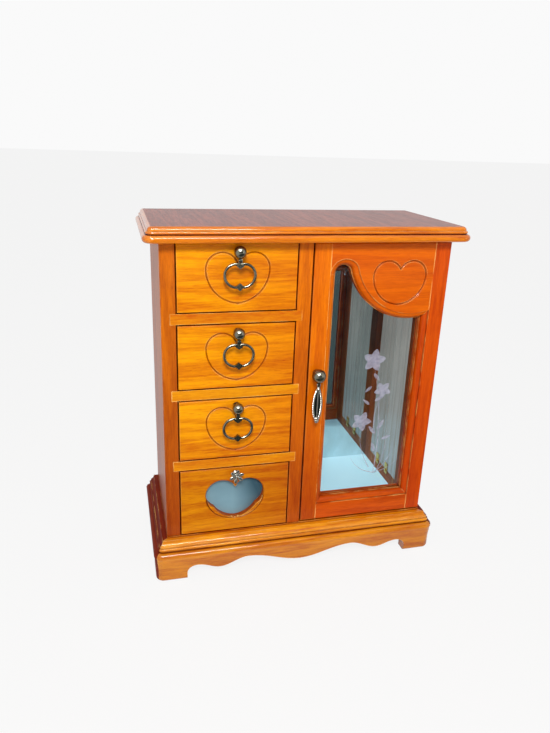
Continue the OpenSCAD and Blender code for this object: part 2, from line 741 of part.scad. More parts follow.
// Beads that hold the glass from behind, sawn apart at the corners
saw = 0.1;
bead_back = 0.2;
module door_glass_beads() color(door_oak) from_front()
    facing(0, 0, glass_y + glass_t + bead_t) linear_extrude(bead_t) difference() {
        opening(glass_margin);
        opening(bead_back);
        for (corner = [[glass_x0, glass_z0, 45], [glass_x1, glass_z0, -45], [glass_x1, fan_meet, 45]])
            translate([corner[0], corner[1]]) rotate(corner[2])
                square([6 * glass_margin, saw], center = true);
        translate([glass_x0, arch_c.y]) square([3 * glass_margin, saw], center = true);
    }

// A bolt-on ball with a lug under it: drawn about the bolt's line, with the front face at y = 0
module ball_knob(ball_d, reach, grip) {
    translate([0, -reach, 0]) sphere(d = ball_d);
    rotate([90, 0, 0]) cylinder(h = reach, r = neck_r);
    rotate([90, 0, 0]) cylinder(h = collar_t, r = collar_r);
    rotate([-90, 0, 0]) cylinder(h = grip + nut_t + bolt_end, r = bolt_r);
    difference() {
        translate([-lug_t / 2, -reach, -ball_d / 2 - eye_gap]) {
            rotate([0, 90, 0]) cylinder(h = lug_t, r = lug_r);
            translate([0, -lug_r, 0]) cube([lug_t, 2 * lug_r, eye_gap + 1]);
        }
        translate([-lug_t, -reach, -ball_d / 2 - eye_gap]) rotate([0, 90, 0])
            cylinder(h = 2 * lug_t, r = swing_pin_r + pin_play);
    }
}
module pull_nut(grip) translate([0, grip, 0]) rotate([-90, 0, 0]) difference() {
    cylinder(h = nut_t, r = nut_r, $fn = 6);
    translate([0, 0, -cut]) cylinder(h = nut_t + 2 * cut, r = bolt_r + 0.02);
}

// Two cheeks and the pin that join a ring or a drop to the lug: drawn about the pin
module swing_yoke(foot) {
    width = lug_t + 2 * (cheek_play + cheek_t);
    rotate([0, 90, 0]) translate([0, 0, -width / 2]) cylinder(h = width, r = swing_pin_r);
    for (s = [-1, 1]) translate([s * (lug_t / 2 + cheek_play + cheek_t / 2), 0, 0]) {
        rotate([0, 90, 0]) cylinder(h = cheek_t, r = cheek_r, center = true);
        translate([-cheek_t / 2, -yoke_t / 2, -foot]) cube([cheek_t, yoke_t, foot]);
    }
    translate([-width / 2, -yoke_t / 2, -foot]) cube([width, yoke_t, foot - lug_r - eye_play]);
}

pull_x = door_x0 + stile_w / 2 - 0.4;
pull_z = door_z1 - door_pull_drop;
function knob_z(i) = bay_z(i) + bay_h(i) - pull_drop;

module drawer_knob(i) color(silver) from_front() translate([bay_mid, 0, knob_z(i)]) {
    ball_knob(pull_ball_d, pull_reach, drawer_front_t);
    pull_nut(drawer_front_t);
}
module diamond(size) polygon([[-size.x / 2, 0], [0, size.y / 2], [size.x / 2, 0], [0, -size.y / 2]]);

// A drop ring is a wire in the form of a very blunt heart, with a hollow diamond at its dip and its tip
module drop_ring(i) color(silver) from_front() translate([bay_mid, -pull_reach, knob_z(i) - ring_eye]) {
    w = ring_w - 2 * ring_wire_r;
    h = ring_h - 2 * ring_wire_r;
    dip = ring_lobe_r - sqrt(pow(ring_lobe_r, 2) - pow(w / 2 - ring_lobe_r, 2));
    top = -ring_top - ring_wire_r;
    diamond_zs = [-lug_r - eye_play - diamonds[0].y / 2, top - h];
    difference() {
        union() {
            facing(0, top - ring_lobe_r)
                heart_sweep(w, h, ring_lobe_r, arc_gap, arc_part) circle(r = ring_wire_r);
            for (s = [-1, 1]) translate([s * w / 2, 0, top - ring_lobe_r])
                sphere(r = ring_wire_r + joint_swell);
            for (k = [0, 1]) facing(0, diamond_zs[k], diamond_t / 2)
                linear_extrude(diamond_t) diamond(diamonds[k]);
            swing_yoke(ring_top + ring_wire_r + dip);
        }
        for (k = [0, 1]) facing(0, diamond_zs[k], diamond_deep - diamond_t / 2)
            linear_extrude(diamond_deep + cut) diamond(diamonds[k] - 2 * diamond_rim * [1.3, 1]);
    }
}
module door_knob() color(silver) from_front() translate([pull_x, 0, pull_z]) {
    ball_knob(door_ball_d, door_pull_reach, door_t);
    pull_nut(door_t);
}
module door_pendant() color(silver) from_front()
    translate([pull_x, -door_pull_reach, pull_z - pendant_eye]) {
        rim_r = 1.2;
        plate_t = 1.2;
        ridge_r = 1;
        bead_r = 1.9;
        end_r = 1.4;
        collar_h = 4;
        body_h = pendant_l - 2 * collar_h;
        half_w = pendant_w / 2 - rim_r;
        bow_r = (pow(body_h / 2, 2) + half_w * half_w) / (2 * half_w);
        bow = atan2(body_h / 2, bow_r - half_w);
        swing_yoke(collar_h);
        for (z = [0, body_h]) translate([0, 0, -collar_h - z]) sphere(r = bead_r);
        translate([0, 0, end_r - pendant_l]) sphere(r = end_r);
        translate([0, 0, -collar_h - body_h / 2]) rotate([90, 0, 0]) {
            for (s = [0, 1]) mirror([s, 0, 0])
                arc_sweep([half_w - bow_r, 0, 0], bow_r, -bow, bow) circle(r = rim_r);
            linear_extrude(plate_t, center = true) lens(bow_r - half_w, bow_r);
            rotate([90, 0, 0]) cylinder(h = body_h, r = ridge_r, center = true);
        }
    }

// Flower knob of the bottom drawer: six petals round a bud, with a bead hung under them
flower_r = 6.6;
petal_r = 2.5;
flower_reach = 5.6;
bud_r = 2.4;
drop_bead_r = 1.5;
module drawer_4_knob() color(silver) from_front() translate([bay_mid, 0, knob_z(4)]) {
    flower_knob();
    pull_nut(drawer_front_t);
}
module flower_knob() {
    rotate([90, 0, 0]) cylinder(h = flower_reach, r = neck_r);
    rotate([90, 0, 0]) cylinder(h = collar_t, r = collar_r);
    rotate([-90, 0, 0]) cylinder(h = drawer_front_t + nut_t + bolt_end, r = bolt_r);
    translate([0, -flower_reach, 0]) {
        sphere(r = bud_r);
        for (k = [0:5]) rotate([0, 60 * k + 30, 0]) {
            translate([flower_r - petal_r, 0, 0]) sphere(r = petal_r);
            rotate([0, 90, 0]) cylinder(h = flower_r - petal_r, r = petal_r / 2);
        }
        translate([0, 0, -flower_r - drop_bead_r / 4]) sphere(r = drop_bead_r);
    }
}

module drawer_front(i) difference() {
    faced_board([bay_x0 + drawer_gap, 0, bay_z(i) + drawer_rise],
        [bay_x1 - drawer_gap, drawer_front_t, bay_z(i) + bay_h(i) - drawer_top_gap]);
    translate([bay_mid, -cut, knob_z(i)]) rotate([-90, 0, 0])
        cylinder(h = drawer_front_t + 2 * cut, r = bolt_r + bolt_play);
    drawer_bottom_panel(i, panel_play);
}
module cut_heart(i) facing(bay_mid, bay_z(i) + drawer_heart_lift + drawer_heart_h - drawer_heart_r)
    heart_sweep(drawer_heart_w, drawer_heart_h, drawer_heart_r, 0, groove_part, groove_bridge) vee_groove();
window_z = bay_z(4) + window_lift + window_h - window_r;
module window_cut() {
    facing(bay_mid, window_z, drawer_front_t + cut) linear_extrude(drawer_front_t + 2 * cut)
        heart(window_w, window_h, window_r, lap / 2 - window_edge);
    facing(bay_mid, window_z)
        heart_sweep(window_w, window_h, window_r, 0, groove_part, groove_bridge) difference() {
            translate([-window_edge - lap, -window_edge]) square([window_edge + lap, window_edge + cut]);
            translate([0, -window_edge]) circle(r = window_edge);
        }
}
pane_margin = 3;
pane_sunk = 5.6;
module window_pane(play) {
    margin = pane_margin + play - window_edge;
    low = bay_z(4) + window_lift;
    board([bay_mid - window_w / 2 - margin, pane_sunk, low - margin], [bay_mid + window_w / 2 + margin,
        play > 0 ? drawer_front_t + cut : pane_sunk + glass_t, low + window_h + margin]);
}

wall_x0 = bay_x0 + drawer_gap;
wall_x1 = bay_x1 - drawer_gap;
bottom_lift = 2.5;
groove_d = 2;
panel_play = 0.1;
glue = 0.05;
back_step = 2;
module drawer_bottom_panel(i, play) {
    reach = groove_d + play;
    low = bay_z(i) + bottom_lift;
    board([wall_x0 + drawer_wall_t - reach, drawer_front_t - reach, low - play],
        [wall_x1 - drawer_wall_t + reach, drawer_l - drawer_wall_t + reach, low + drawer_bottom_t + play]);
}
module drawer_walls(i) color(inner_oak) from_front() difference() {
    top = bay_z(i) + bay_h(i) - drawer_headroom;
    union() {
        board([wall_x0, drawer_front_t, bay_z(i)], [wall_x0 + drawer_wall_t, drawer_l, top]);
        board([wall_x1 - drawer_wall_t, drawer_front_t, bay_z(i)], [wall_x1, drawer_l, top]);
        board([wall_x0 + drawer_wall_t + glue, drawer_l - drawer_wall_t, bay_z(i)],
            [wall_x1 - drawer_wall_t - glue, drawer_l, top - back_step]);
    }
    drawer_bottom_panel(i, panel_play);
}
module drawer_bottom(i) color(inner_oak) from_front() drawer_bottom_panel(i, 0);
module drawer_felt(i) color(felt) from_front() {
    low = bay_z(i) + bottom_lift + drawer_bottom_t;
    board([wall_x0 + drawer_wall_t, drawer_front_t, low],
        [wall_x1 - drawer_wall_t, drawer_l - drawer_wall_t, low + felt_t]);
}

module heart_front(i) color(drawer_oak) from_front() difference() {
    drawer_front(i);
    cut_heart(i);
}
module window_front() color(drawer_oak) from_front() difference() {
    drawer_front(4);
    window_cut();
    window_pane(0.2);
}
module drawer_4_pane() color(clear_glass) from_front() window_pane(0);

top_board();
left_side();
divider();
side_front_stile();
side_rear_stile();
side_rails();
side_glass();
side_glass_clips();
shelf_1();
shelf_2();
shelf_3();
bottom_board();
back_panel();
compartment_mirror();
compartment_pad();
base_front();
base_left();
base_right();
base_back();
base_blocks();
hinge_case_leaves();
hinge_pins();
catch_magnet();
wheel_post();
necklace_wheel();
necklace_hooks();
door_left_stile();
door_right_stile();
door_fan_panel();
door_bottom_rail();
door_glass();
door_glass_beads();
hinge_door_leaves();
catch_strike();
door_knob();
door_pendant();
heart_front(1);  // drawer_1_front
drawer_walls(1);  // drawer_1_walls
drawer_bottom(1);  // drawer_1_bottom
drawer_felt(1);  // drawer_1_felt
drawer_knob(1);  // drawer_1_knob
drop_ring(1);  // drawer_1_ring
heart_front(2);  // drawer_2_front
drawer_walls(2);  // drawer_2_walls
drawer_bottom(2);  // drawer_2_bottom
drawer_felt(2);  // drawer_2_felt
drawer_knob(2);  // drawer_2_knob
drop_ring(2);  // drawer_2_ring
heart_front(3);  // drawer_3_front
drawer_walls(3);  // drawer_3_walls
drawer_bottom(3);  // drawer_3_bottom
drawer_felt(3);  // drawer_3_felt
drawer_knob(3);  // drawer_3_knob
drop_ring(3);  // drawer_3_ring
window_front();  // drawer_4_front
drawer_walls(4);  // drawer_4_walls
drawer_bottom(4);  // drawer_4_bottom
drawer_felt(4);  // drawer_4_felt
drawer_4_knob();
drawer_4_pane();
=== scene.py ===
# %% [markdown]
# # A small jewellery cabinet
# The cabinet stands on a dressing table: four drawers on the left, a glazed door on the right, a moulded
# top and a plinth with bracket feet. The woodwork comes ready from the CAD model. This file gives it its
# varnish, its glass and its cast metal, and models the small parts that are too fine for the CAD.

# %% Load the CAD model
import json
import math

import bmesh
import bpy
from mathutils import Matrix, Vector


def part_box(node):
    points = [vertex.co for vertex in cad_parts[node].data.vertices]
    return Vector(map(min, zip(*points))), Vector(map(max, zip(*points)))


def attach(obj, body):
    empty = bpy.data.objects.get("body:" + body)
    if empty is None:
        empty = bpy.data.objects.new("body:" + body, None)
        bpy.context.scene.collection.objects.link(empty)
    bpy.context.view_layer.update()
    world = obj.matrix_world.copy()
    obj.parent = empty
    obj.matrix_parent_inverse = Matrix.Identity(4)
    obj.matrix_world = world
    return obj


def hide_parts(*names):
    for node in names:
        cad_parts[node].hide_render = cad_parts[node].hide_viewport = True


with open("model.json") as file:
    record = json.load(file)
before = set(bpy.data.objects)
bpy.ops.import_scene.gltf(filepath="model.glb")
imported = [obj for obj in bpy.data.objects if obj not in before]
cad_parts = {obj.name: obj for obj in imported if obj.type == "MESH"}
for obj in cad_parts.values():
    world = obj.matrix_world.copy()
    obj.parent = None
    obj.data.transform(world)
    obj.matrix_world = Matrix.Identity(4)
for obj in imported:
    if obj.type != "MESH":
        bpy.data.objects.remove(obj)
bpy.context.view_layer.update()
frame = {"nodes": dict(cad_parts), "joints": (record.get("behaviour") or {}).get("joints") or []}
cad = frame["nodes"]
DRAWERS = (1, 2, 3, 4)

# %% [markdown]
# ## The camera
# The photograph was taken from the left and from above. The camera was fitted to the corners of the case,
# so that the model falls where the cabinet stands in the picture. It is turned in three steps: a swing to
# the right, a tilt down and a slight lean. Blender takes its lens in millimetres on a film 36 mm wide,
# and the fitted length is in pixels, so the film's width over the picture's longer side turns one into
# the other.

# %% Camera
PICTURE = (550, 733)
FOCAL_PIXELS = 625.36
FILM_WIDTH = 36.0
CAMERA_PLACE = (-0.14847, -0.51038, 0.36558)
SWING = math.radians(-14.703)
TILT_DOWN = math.radians(20.225)
LEAN = math.radians(2.077)

camera_data = bpy.data.cameras.new("camera")
camera_data.sensor_width = FILM_WIDTH
camera_data.lens = FOCAL_PIXELS * FILM_WIDTH / max(PICTURE)
camera_data.clip_start = 0.01
camera = bpy.data.objects.new("camera", camera_data)
camera.matrix_world = (Matrix.Translation(CAMERA_PLACE) @ Matrix.Rotation(SWING, 4, "Z")
                       @ Matrix.Rotation(math.pi / 2 - TILT_DOWN, 4, "X") @ Matrix.Rotation(LEAN, 4, "Z"))
bpy.context.scene.collection.objects.link(camera)
bpy.context.scene.camera = camera
print(f"lens {camera_data.lens:.2f} mm")

# %% [markdown]
# ## Nodes with less typing
# Every material below is a small tree of nodes. It could be wired by hand in the shader editor, but here
# a few helpers do it. The first makes a node, sets its settings and fills its sockets: a socket takes
# either a value or another node's output. Colours are written as they look on a screen.

# %% Colours and nodes
def colour(red, green, blue):
    """A colour as it looks on a screen, 0 to 255, in the linear values that Blender wants."""
    def linear(value):
        value /= 255
        return value / 12.92 if value <= 0.04045 else ((value + 0.055) / 1.055) ** 2.4
    return (linear(red), linear(green), linear(blue), 1.0)


def fill(tree, node, sockets):
    for name, value in sockets.items():
        if isinstance(value, bpy.types.NodeSocket):
            tree.links.new(value, node.inputs[name])
        else:
            node.inputs[name].default_value = value


def add(tree, kind, sockets=None, **settings):
    node = tree.nodes.new("ShaderNode" + kind)
    for name, value in settings.items():
        setattr(node, name, value)
    fill(tree, node, sockets or {})
    return node


def find(tree, kind):
    return next(node for node in tree.nodes if node.bl_idname == "ShaderNode" + kind)


print(f"half grey on a screen is {colour(128, 128, 128)[0]:.3f} in linear light")

# %% [markdown]
# A pattern starts from a place on the piece. Each piece's object sits at the origin, so the Object
# coordinates are the cabinet's own, in metres, and a pattern stays on its piece when a door or a drawer
# moves. From there on, the patterns are stretched, turned into noise and mixed.

# %% Patterns
def on_piece(tree):
    return add(tree, "TexCoord").outputs["Object"]


def stretched(tree, place, scale, shift=(0.0, 0.0, 0.0)):
    return add(tree, "Mapping", {"Vector": place, "Location": shift, "Scale": scale}).outputs[0]


def noise(tree, place, scale, **sockets):
    return add(tree, "TexNoise", {"Vector": place, "Scale": scale, **sockets}).outputs[0]


def axes(tree, vector):
    return add(tree, "SeparateXYZ", {0: vector}).outputs


def maths(tree, operation, first, second=0.0, clamp=False):
    return add(tree, "Math", {0: first, 1: second}, operation=operation, use_clamp=clamp).outputs[0]


def spread(tree, value, low, high, to_low=0.0, to_high=1.0):
    """Stretches the part of a pattern between low and high over a new range."""
    return add(tree, "MapRange", {"Value": value, "From Min": low, "From Max": high, "To Min": to_low,
                                  "To Max": to_high}).outputs[0]


def mix(tree, factor, first, second, blend="MIX"):
    """Mixes two colours. In a Mix node, sockets 6 and 7 take the colours, and output 2 gives the result."""
    node = add(tree, "Mix", {0: factor}, data_type="RGBA", blend_type=blend)
    fill(tree, node, {6: first, 7: second})
    return node.outputs[2]


print("pattern helpers ready")

# %% [markdown]
# What several finishes share, such as grain or tarnish, becomes a node group with named inputs and
# outputs, made once and placed in each material with that material's own values. The shader itself stays
# in the material.

# %% Groups and materials
def new_group(name, inputs, outputs):
    group = bpy.data.node_groups.new(name, "ShaderNodeTree")
    for socket_name, kind in inputs.items():
        group.interface.new_socket(socket_name, in_out="INPUT", socket_type="NodeSocket" + kind)
    for socket_name, kind in outputs.items():
        group.interface.new_socket(socket_name, in_out="OUTPUT", socket_type="NodeSocket" + kind)
    return group, group.nodes.new("NodeGroupInput").outputs, group.nodes.new("NodeGroupOutput")


def place_group(tree, group, sockets):
    node = tree.nodes.new("ShaderNodeGroup")
    node.node_tree = group
    fill(tree, node, sockets)
    return node.outputs


def new_material(name, see_through=False, **sockets):
    material = bpy.data.materials.new(name)
    material.use_nodes = True
    if see_through:
        material.surface_render_method = "BLENDED"
    tree = material.node_tree
    tree.nodes.clear()
    shader = add(tree, "BsdfPrincipled")
    add(tree, "OutputMaterial", {"Surface": shader.outputs["BSDF"]})
    fill(tree, shader, {key.replace("_", " "): value for key, value in sockets.items()})
    return material, tree, shader


def dress(material, *names):
    for name in names:
        cad[name].data.materials.clear()
        cad[name].data.materials.append(material)


print("group and material helpers ready")

# %% [markdown]
# ## Rounder metal and mouldings
# The CAD model comes as flat triangles. Its points are welded, its faces shaded smooth, and the edges
# that turn by more than 32 degrees kept sharp. A weighted normal keeps the broad flat faces flat.
# Modifiers do all of it, so the CAD meshes stay as they are.

# %% Smooth shading
SHARP_FROM = math.radians(32)
WELD_WITHIN = 1e-6

smooth_group = bpy.data.node_groups.new("smooth_by_angle", "GeometryNodeTree")
smooth_group.interface.new_socket("Geometry", in_out="INPUT", socket_type="NodeSocketGeometry")
smooth_group.interface.new_socket("Geometry", in_out="OUTPUT", socket_type="NodeSocketGeometry")
shape_in = smooth_group.nodes.new("NodeGroupInput")
shape_out = smooth_group.nodes.new("NodeGroupOutput")
edge_angle = smooth_group.nodes.new("GeometryNodeInputMeshEdgeAngle")
is_sharp = smooth_group.nodes.new("FunctionNodeCompare")
is_sharp.data_type = "FLOAT"
is_sharp.operation = "GREATER_THAN"
is_sharp.inputs["B"].default_value = SHARP_FROM
smooth_faces = smooth_group.nodes.new("GeometryNodeSetShadeSmooth")
sharp_edges = smooth_group.nodes.new("GeometryNodeSetShadeSmooth")
sharp_edges.domain = "EDGE"
sharp_edges.inputs["Shade Smooth"].default_value = False
for output, socket in ((edge_angle.outputs["Unsigned Angle"], is_sharp.inputs["A"]),
                       (shape_in.outputs[0], smooth_faces.inputs["Geometry"]),
                       (smooth_faces.outputs[0], sharp_edges.inputs["Geometry"]),
                       (is_sharp.outputs["Result"], sharp_edges.inputs["Selection"]),
                       (sharp_edges.outputs[0], shape_out.inputs[0])):
    smooth_group.links.new(output, socket)

for piece in cad.values():
    piece.modifiers.new("weld", "WELD").merge_threshold = WELD_WITHIN
    piece.modifiers.new("smooth", "NODES").node_group = smooth_group
    piece.modifiers.new("weighted", "WEIGHTED_NORMAL").keep_sharp = True
print(f"{len(cad)} nodes shaded smooth")

# %% [markdown]
# ## Wood grain
# Grain is a stretched pattern: long along the board and fine across it. The group reads coordinates that
# are already stretched. It adds up broad bands, which are the year rings, thin streaks, short dark pores,
# and slow blotches where the stain took unevenly. Noise is used for all of them, because a photograph of
# wood would repeat and could not follow each board.

# %% Group: wood grain
RINGS = 34.0
PORE_STAIN = 0.25
STREAK_DEPTH = 0.4
BAND_SCALE = 0.9
STREAK_SCALE, STREAK_FROM, STREAK_TO = 16.0, 0.38, 0.72
PORE_SCALE, PORE_FROM, PORE_TO = 38.0, 0.62, 0.74
BLOTCH_SCALE, BLOTCH_FROM, BLOTCH_TO = 0.35, 0.35, 0.7

grain, grain_in, grain_out = new_group(
    "wood_grain", {"Vector": "Vector", "Light": "Color", "Dark": "Color", "Bands": "Float",
                   "Streaks": "Float", "Blotches": "Float"}, {"Color": "Color", "Height": "Float"})
along_board = grain_in["Vector"]
broad = noise(grain, along_board, BAND_SCALE, Detail=3.0, Roughness=0.5, Distortion=0.3)
bands = spread(grain, maths(grain, "SINE", maths(grain, "MULTIPLY", broad, RINGS)), -1.0, 1.0)
fine = noise(grain, along_board, STREAK_SCALE, Detail=5.0, Roughness=0.65)
streaks = spread(grain, fine, STREAK_FROM, STREAK_TO)
pores = spread(grain, noise(grain, along_board, PORE_SCALE, Detail=1.0), PORE_FROM, PORE_TO)
blotches = spread(grain, noise(grain, along_board, BLOTCH_SCALE, Detail=2.0), BLOTCH_FROM, BLOTCH_TO)
stain = [maths(grain, "MULTIPLY", pattern, share)
         for pattern, share in ((bands, grain_in["Bands"]), (streaks, grain_in["Streaks"]),
                                (blotches, grain_in["Blotches"]), (pores, PORE_STAIN))]
darkness = maths(grain, "ADD", stain[0], maths(grain, "ADD", stain[1], stain[2]))
darkness = maths(grain, "ADD", darkness, stain[3], clamp=True)
height = maths(grain, "ADD", maths(grain, "MULTIPLY", streaks, STREAK_DEPTH), pores)
fill(grain, grain_out, {"Color": mix(grain, darkness, grain_in["Light"], grain_in["Dark"]),
                        "Height": height})
print("group", grain.name)

# %% [markdown]
# ## Old varnish and painted light
# Two things happen to varnish, and both are partly painted light. Grime and thick varnish gather in
# grooves and along joints, which ambient occlusion finds; that darkening is also painted shade. And the
# colour rubs off the sharp edges, which Blender's Bevel node finds: its normal differs from the true one
# only near an edge. That pale edge line is also a painted highlight. Noise breaks it up.

# %% Group: old varnish and painted light
EDGE_UNMARKED, EDGE_FULLY_MARKED = 0.985, 0.85
OPEN_WOOD, DEEP_GROOVE = 0.92, 0.45
PATCH_SCALE, PATCH_FROM, PATCH_TO = 70.0, -0.08, 0.12

wear_and_light, wear_and_light_in, wear_and_light_out = new_group(
    "old_varnish_and_light", {"Vector": "Vector", "Radius": "Float", "Breaks": "Float", "Groove": "Float"},
    {"Edge": "Float", "Dirt_and_shade": "Float"})
# Edges found here turn pale: the varnish rubs through, and a painted highlight.
rounded = add(wear_and_light, "Bevel", {"Radius": wear_and_light_in["Radius"]}, samples=4)
flat = add(wear_and_light, "NewGeometry")
facing = add(wear_and_light, "VectorMath", {0: rounded.outputs[0], 1: flat.outputs["Normal"]},
             operation="DOT_PRODUCT")
edge = spread(wear_and_light, facing.outputs["Value"], EDGE_UNMARKED, EDGE_FULLY_MARKED)
patches = noise(wear_and_light, wear_and_light_in["Vector"], PATCH_SCALE, Detail=3.0)
unbroken = spread(wear_and_light, maths(wear_and_light, "SUBTRACT", patches, wear_and_light_in["Breaks"]), PATCH_FROM, PATCH_TO)
# Ambient occlusion darkens grooves and joints: grime, and painted shade.
crevice = add(wear_and_light, "AmbientOcclusion", {"Distance": wear_and_light_in["Groove"]}, samples=6)
fill(wear_and_light, wear_and_light_out, {"Edge": maths(wear_and_light, "MULTIPLY", edge, unbroken),
                      "Dirt_and_shade": spread(wear_and_light, crevice.outputs["AO"], OPEN_WOOD, DEEP_GROOVE)})
print("group", wear_and_light.name)

# %% [markdown]
# ## Varnished boards
# Each board is cut from its own piece of wood, so its grain runs its own way and its stain differs a
# little. One function makes them all: stretched coordinates, the grain, grime and painted shade in the
# grooves, rubbing and a painted highlight on the edges, and a clear coat that lies smoother than the
# wood under it. The shift moves each board to its own part of the pattern, so that no two look alike.

# %% Varnish
ALONG = {"X": (5.0, 60.0, 60.0), "Y": (60.0, 5.0, 60.0), "Z": (60.0, 60.0, 5.0)}
# The pale edge colour: varnish rubbing through, and a painted highlight.
WORN_AND_HIGHLIGHT = colour(252, 200, 112)
# The groove colour: grime, and painted shade.
DIRT_AND_SHADE = colour(112, 27, 2)
RUBBED_AND_LIT_WITHIN = 0.001
RUBBED_AND_LIT_BREAKS = 0.48
GROOVE_WITHIN = 0.0016
FULL_HEIGHT = 1.0 + STREAK_DEPTH
PORE_ROUGHER = 0.15
GRAIN_BUMP = {"Strength": 0.1, "Distance": 0.0002}
COAT_ROUGHNESS, WOOD_GLOSS = 0.1, 0.08


def varnished(name, light, dark, along, shift, bands=0.3, streaks=0.4, blotches=0.35, worn=WORN_AND_HIGHLIGHT,
              dirt=DIRT_AND_SHADE, roughness=0.36, coat=0.12, shades=()):
    """A varnished board. Each shade is an axis, a start and an end in metres, and the colour that the stain
    is multiplied by at the end. The shades towards the foot and behind the drawer face are painted
    shade."""
    material, tree, shader = new_material(name)
    place = on_piece(tree)
    board_place = stretched(tree, place, ALONG[along], (shift, shift * 0.7, shift * 1.3))
    wood = place_group(tree, grain, {"Vector": board_place, "Light": light, "Dark": dark, "Bands": bands,
                                     "Streaks": streaks, "Blotches": blotches})
    age_and_light = place_group(tree, wear_and_light, {"Vector": place, "Radius": RUBBED_AND_LIT_WITHIN, "Breaks": RUBBED_AND_LIT_BREAKS,
                                   "Groove": GROOVE_WITHIN})
    stained = wood["Color"]
    spot = axes(tree, place)
    for axis, begin, end, tint in shades:
        stained = mix(tree, spread(tree, spot[axis], begin, end), stained, tint, "MULTIPLY")
    # Edges take the pale colour and grooves the dark one, each partly painted light.
    rubbed_and_highlit = mix(tree, age_and_light["Edge"], stained, worn)
    bump = add(tree, "Bump", {"Height": wood["Height"], **GRAIN_BUMP}, invert=True)
    fill(tree, shader, {"Base Color": mix(tree, age_and_light["Dirt_and_shade"], rubbed_and_highlit, dirt),
                        "Roughness": spread(tree, wood["Height"], 0.0, FULL_HEIGHT, roughness,
                                            roughness + PORE_ROUGHER),
                        "Normal": bump.outputs[0], "Coat Weight": coat,
                        "Coat Roughness": COAT_ROUGHNESS, "Specular IOR Level": WOOD_GLOSS})
    return material


def board(name, light, dark, along, shift, pieces, **finish):
    """Varnishes pieces that were cut from one board. Its stain has a light and a dark colour."""
    material = varnished(name, colour(*light), colour(*dark), along, shift, **finish)
    dress(material, *pieces)
    return material


# Reach of the pale edge line with its painted highlight, and of the grooves' painted shade.
print(f"worn edges reach {RUBBED_AND_LIT_WITHIN * 1000:.1f} mm, dirty grooves {GROOVE_WITHIN * 1000:.1f} mm")

# %% [markdown]
# ### Drawer fronts and the rails between them
# The fronts are the yellowest wood of the cabinet. They darken towards the divider, and the lower two
# take painted shade towards the plinth, as the rails do towards the foot. The wood inside the pierced
# heart is deep orange, and that is painted shade: a shade along Y starts just behind the face, so what is
# cut into a front takes it, and so do the front's edges and back.

# %% Varnish on the drawers and rails
YELLOW, AMBER = (255, 172, 0), (192, 76, 0)
# How much of the stain's light each front keeps at its foot: painted shade on the lower two.
LIGHT_AT_FOOT = {1: 1.0, 2: 1.0, 3: 0.9, 4: 0.78}
BEHIND_FACE, DEEP_IN_WOOD = 0.00055, 0.00215
drawer_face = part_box("drawer_1_front")[0][1]
TOWARDS_DIVIDER = ("X", -0.085, -0.008, (0.84, 0.66, 1.0, 1.0))
# Painted shade inside the heart and on each front's edges and back.
SHADE_INSIDE_HEART = ("Y", drawer_face + BEHIND_FACE, drawer_face + DEEP_IN_WOOD, (0.62, 0.34, 0.6, 1.0))
# Painted shade towards the foot, on the rails and the door's right stile.
SHADE_TOWARDS_FOOT = ("Z", 0.22, 0.06, (0.88, 0.75, 0.9, 1.0))

for number in DRAWERS:
    bright = LIGHT_AT_FOOT[number]
    shade_towards_plinth = ("Z", 0.17, 0.08, (bright, bright * 0.96, 1.0, 1.0))
    board(f"drawer_front_{number}", YELLOW, AMBER, "X", number * 3.1, [f"drawer_{number}_front"],
          bands=0.36, blotches=0.45, shades=(TOWARDS_DIVIDER, shade_towards_plinth, SHADE_INSIDE_HEART))
board("drawer_rails", (244, 168, 10), (196, 84, 4), "X", 1.7, ["shelf_1", "shelf_2", "shelf_3"],
      shades=(SHADE_TOWARDS_FOOT,))
print(f"drawer faces at y {drawer_face * 1000:.2f} mm")

# %% [markdown]
# ### Case and door
# The posts of the case and the stiles of the door stand upright, so their grain does too, and the fan and
# the foot rail lie across. The right half of the door is redder than the rest, and the upright boards at
# the front darken towards the foot with painted shade. The frame of the right side is browner.

# %% Varnish on the case and the door
# Painted shade at the foot of the upright boards.
SHADED_AT_FOOT = ("Z", 0.22, 0.06, (0.68, 0.5, 1.0, 1.0))
CHESTNUT = ((190, 100, 30), (110, 48, 12))

board("left_post", (214, 112, 6), (146, 52, 4), "Z", 5.0, ["left_side"], shades=(SHADED_AT_FOOT,))
board("divider_post", (230, 122, 2), (164, 58, 2), "Z", 6.0, ["divider"], shades=(SHADED_AT_FOOT,))
board("door_stile_left", (240, 128, 0), (194, 75, 0), "Z", 7.0, ["door_left_stile"],
      shades=(SHADED_AT_FOOT,))
board("door_stile_right", (222, 88, 0), (168, 46, 0), "Z", 8.0, ["door_right_stile"],
      shades=(SHADE_TOWARDS_FOOT,))
board("door_fan", (230, 110, 0), (186, 66, 0), "X", 9.0, ["door_fan_panel"])
board("door_foot_rail", (220, 92, 2), (158, 44, 0), "X", 10.0, ["door_bottom_rail", "door_glass_beads"])
board("side_frame", *CHESTNUT, "Z", 11.0, ["side_front_stile", "side_rear_stile"])
board("side_frame_rails", *CHESTNUT, "Y", 11.5, ["side_rails"])
print("case and door varnished")

# %% [markdown]
# ### Plinth
# The front moulding is as yellow as the drawers and has a thick, glossy coat, which catches the light from
# above. Its feet darken with painted shade. The mouldings at the sides are dark red-brown and have lost
# their shine.

# %% Varnish on the plinth
# Painted shade down at the feet.
SHADED_FEET = ("Z", 0.036, 0.008, (0.7, 0.6, 0.5, 1.0))

board("plinth_front", (255, 172, 22), (186, 82, 4), "X", 13.0, ["base_front"], bands=0.4, coat=0.7,
      roughness=0.3, shades=(SHADED_FEET,))
board("plinth_sides", (146, 46, 12), (90, 18, 6), "Y", 14.0, ["base_left", "base_right"], coat=0.0,
      roughness=0.5)
board("floor_board", (238, 140, 10), (176, 66, 4), "X", 15.0, ["bottom_board"])
print("plinth varnished")

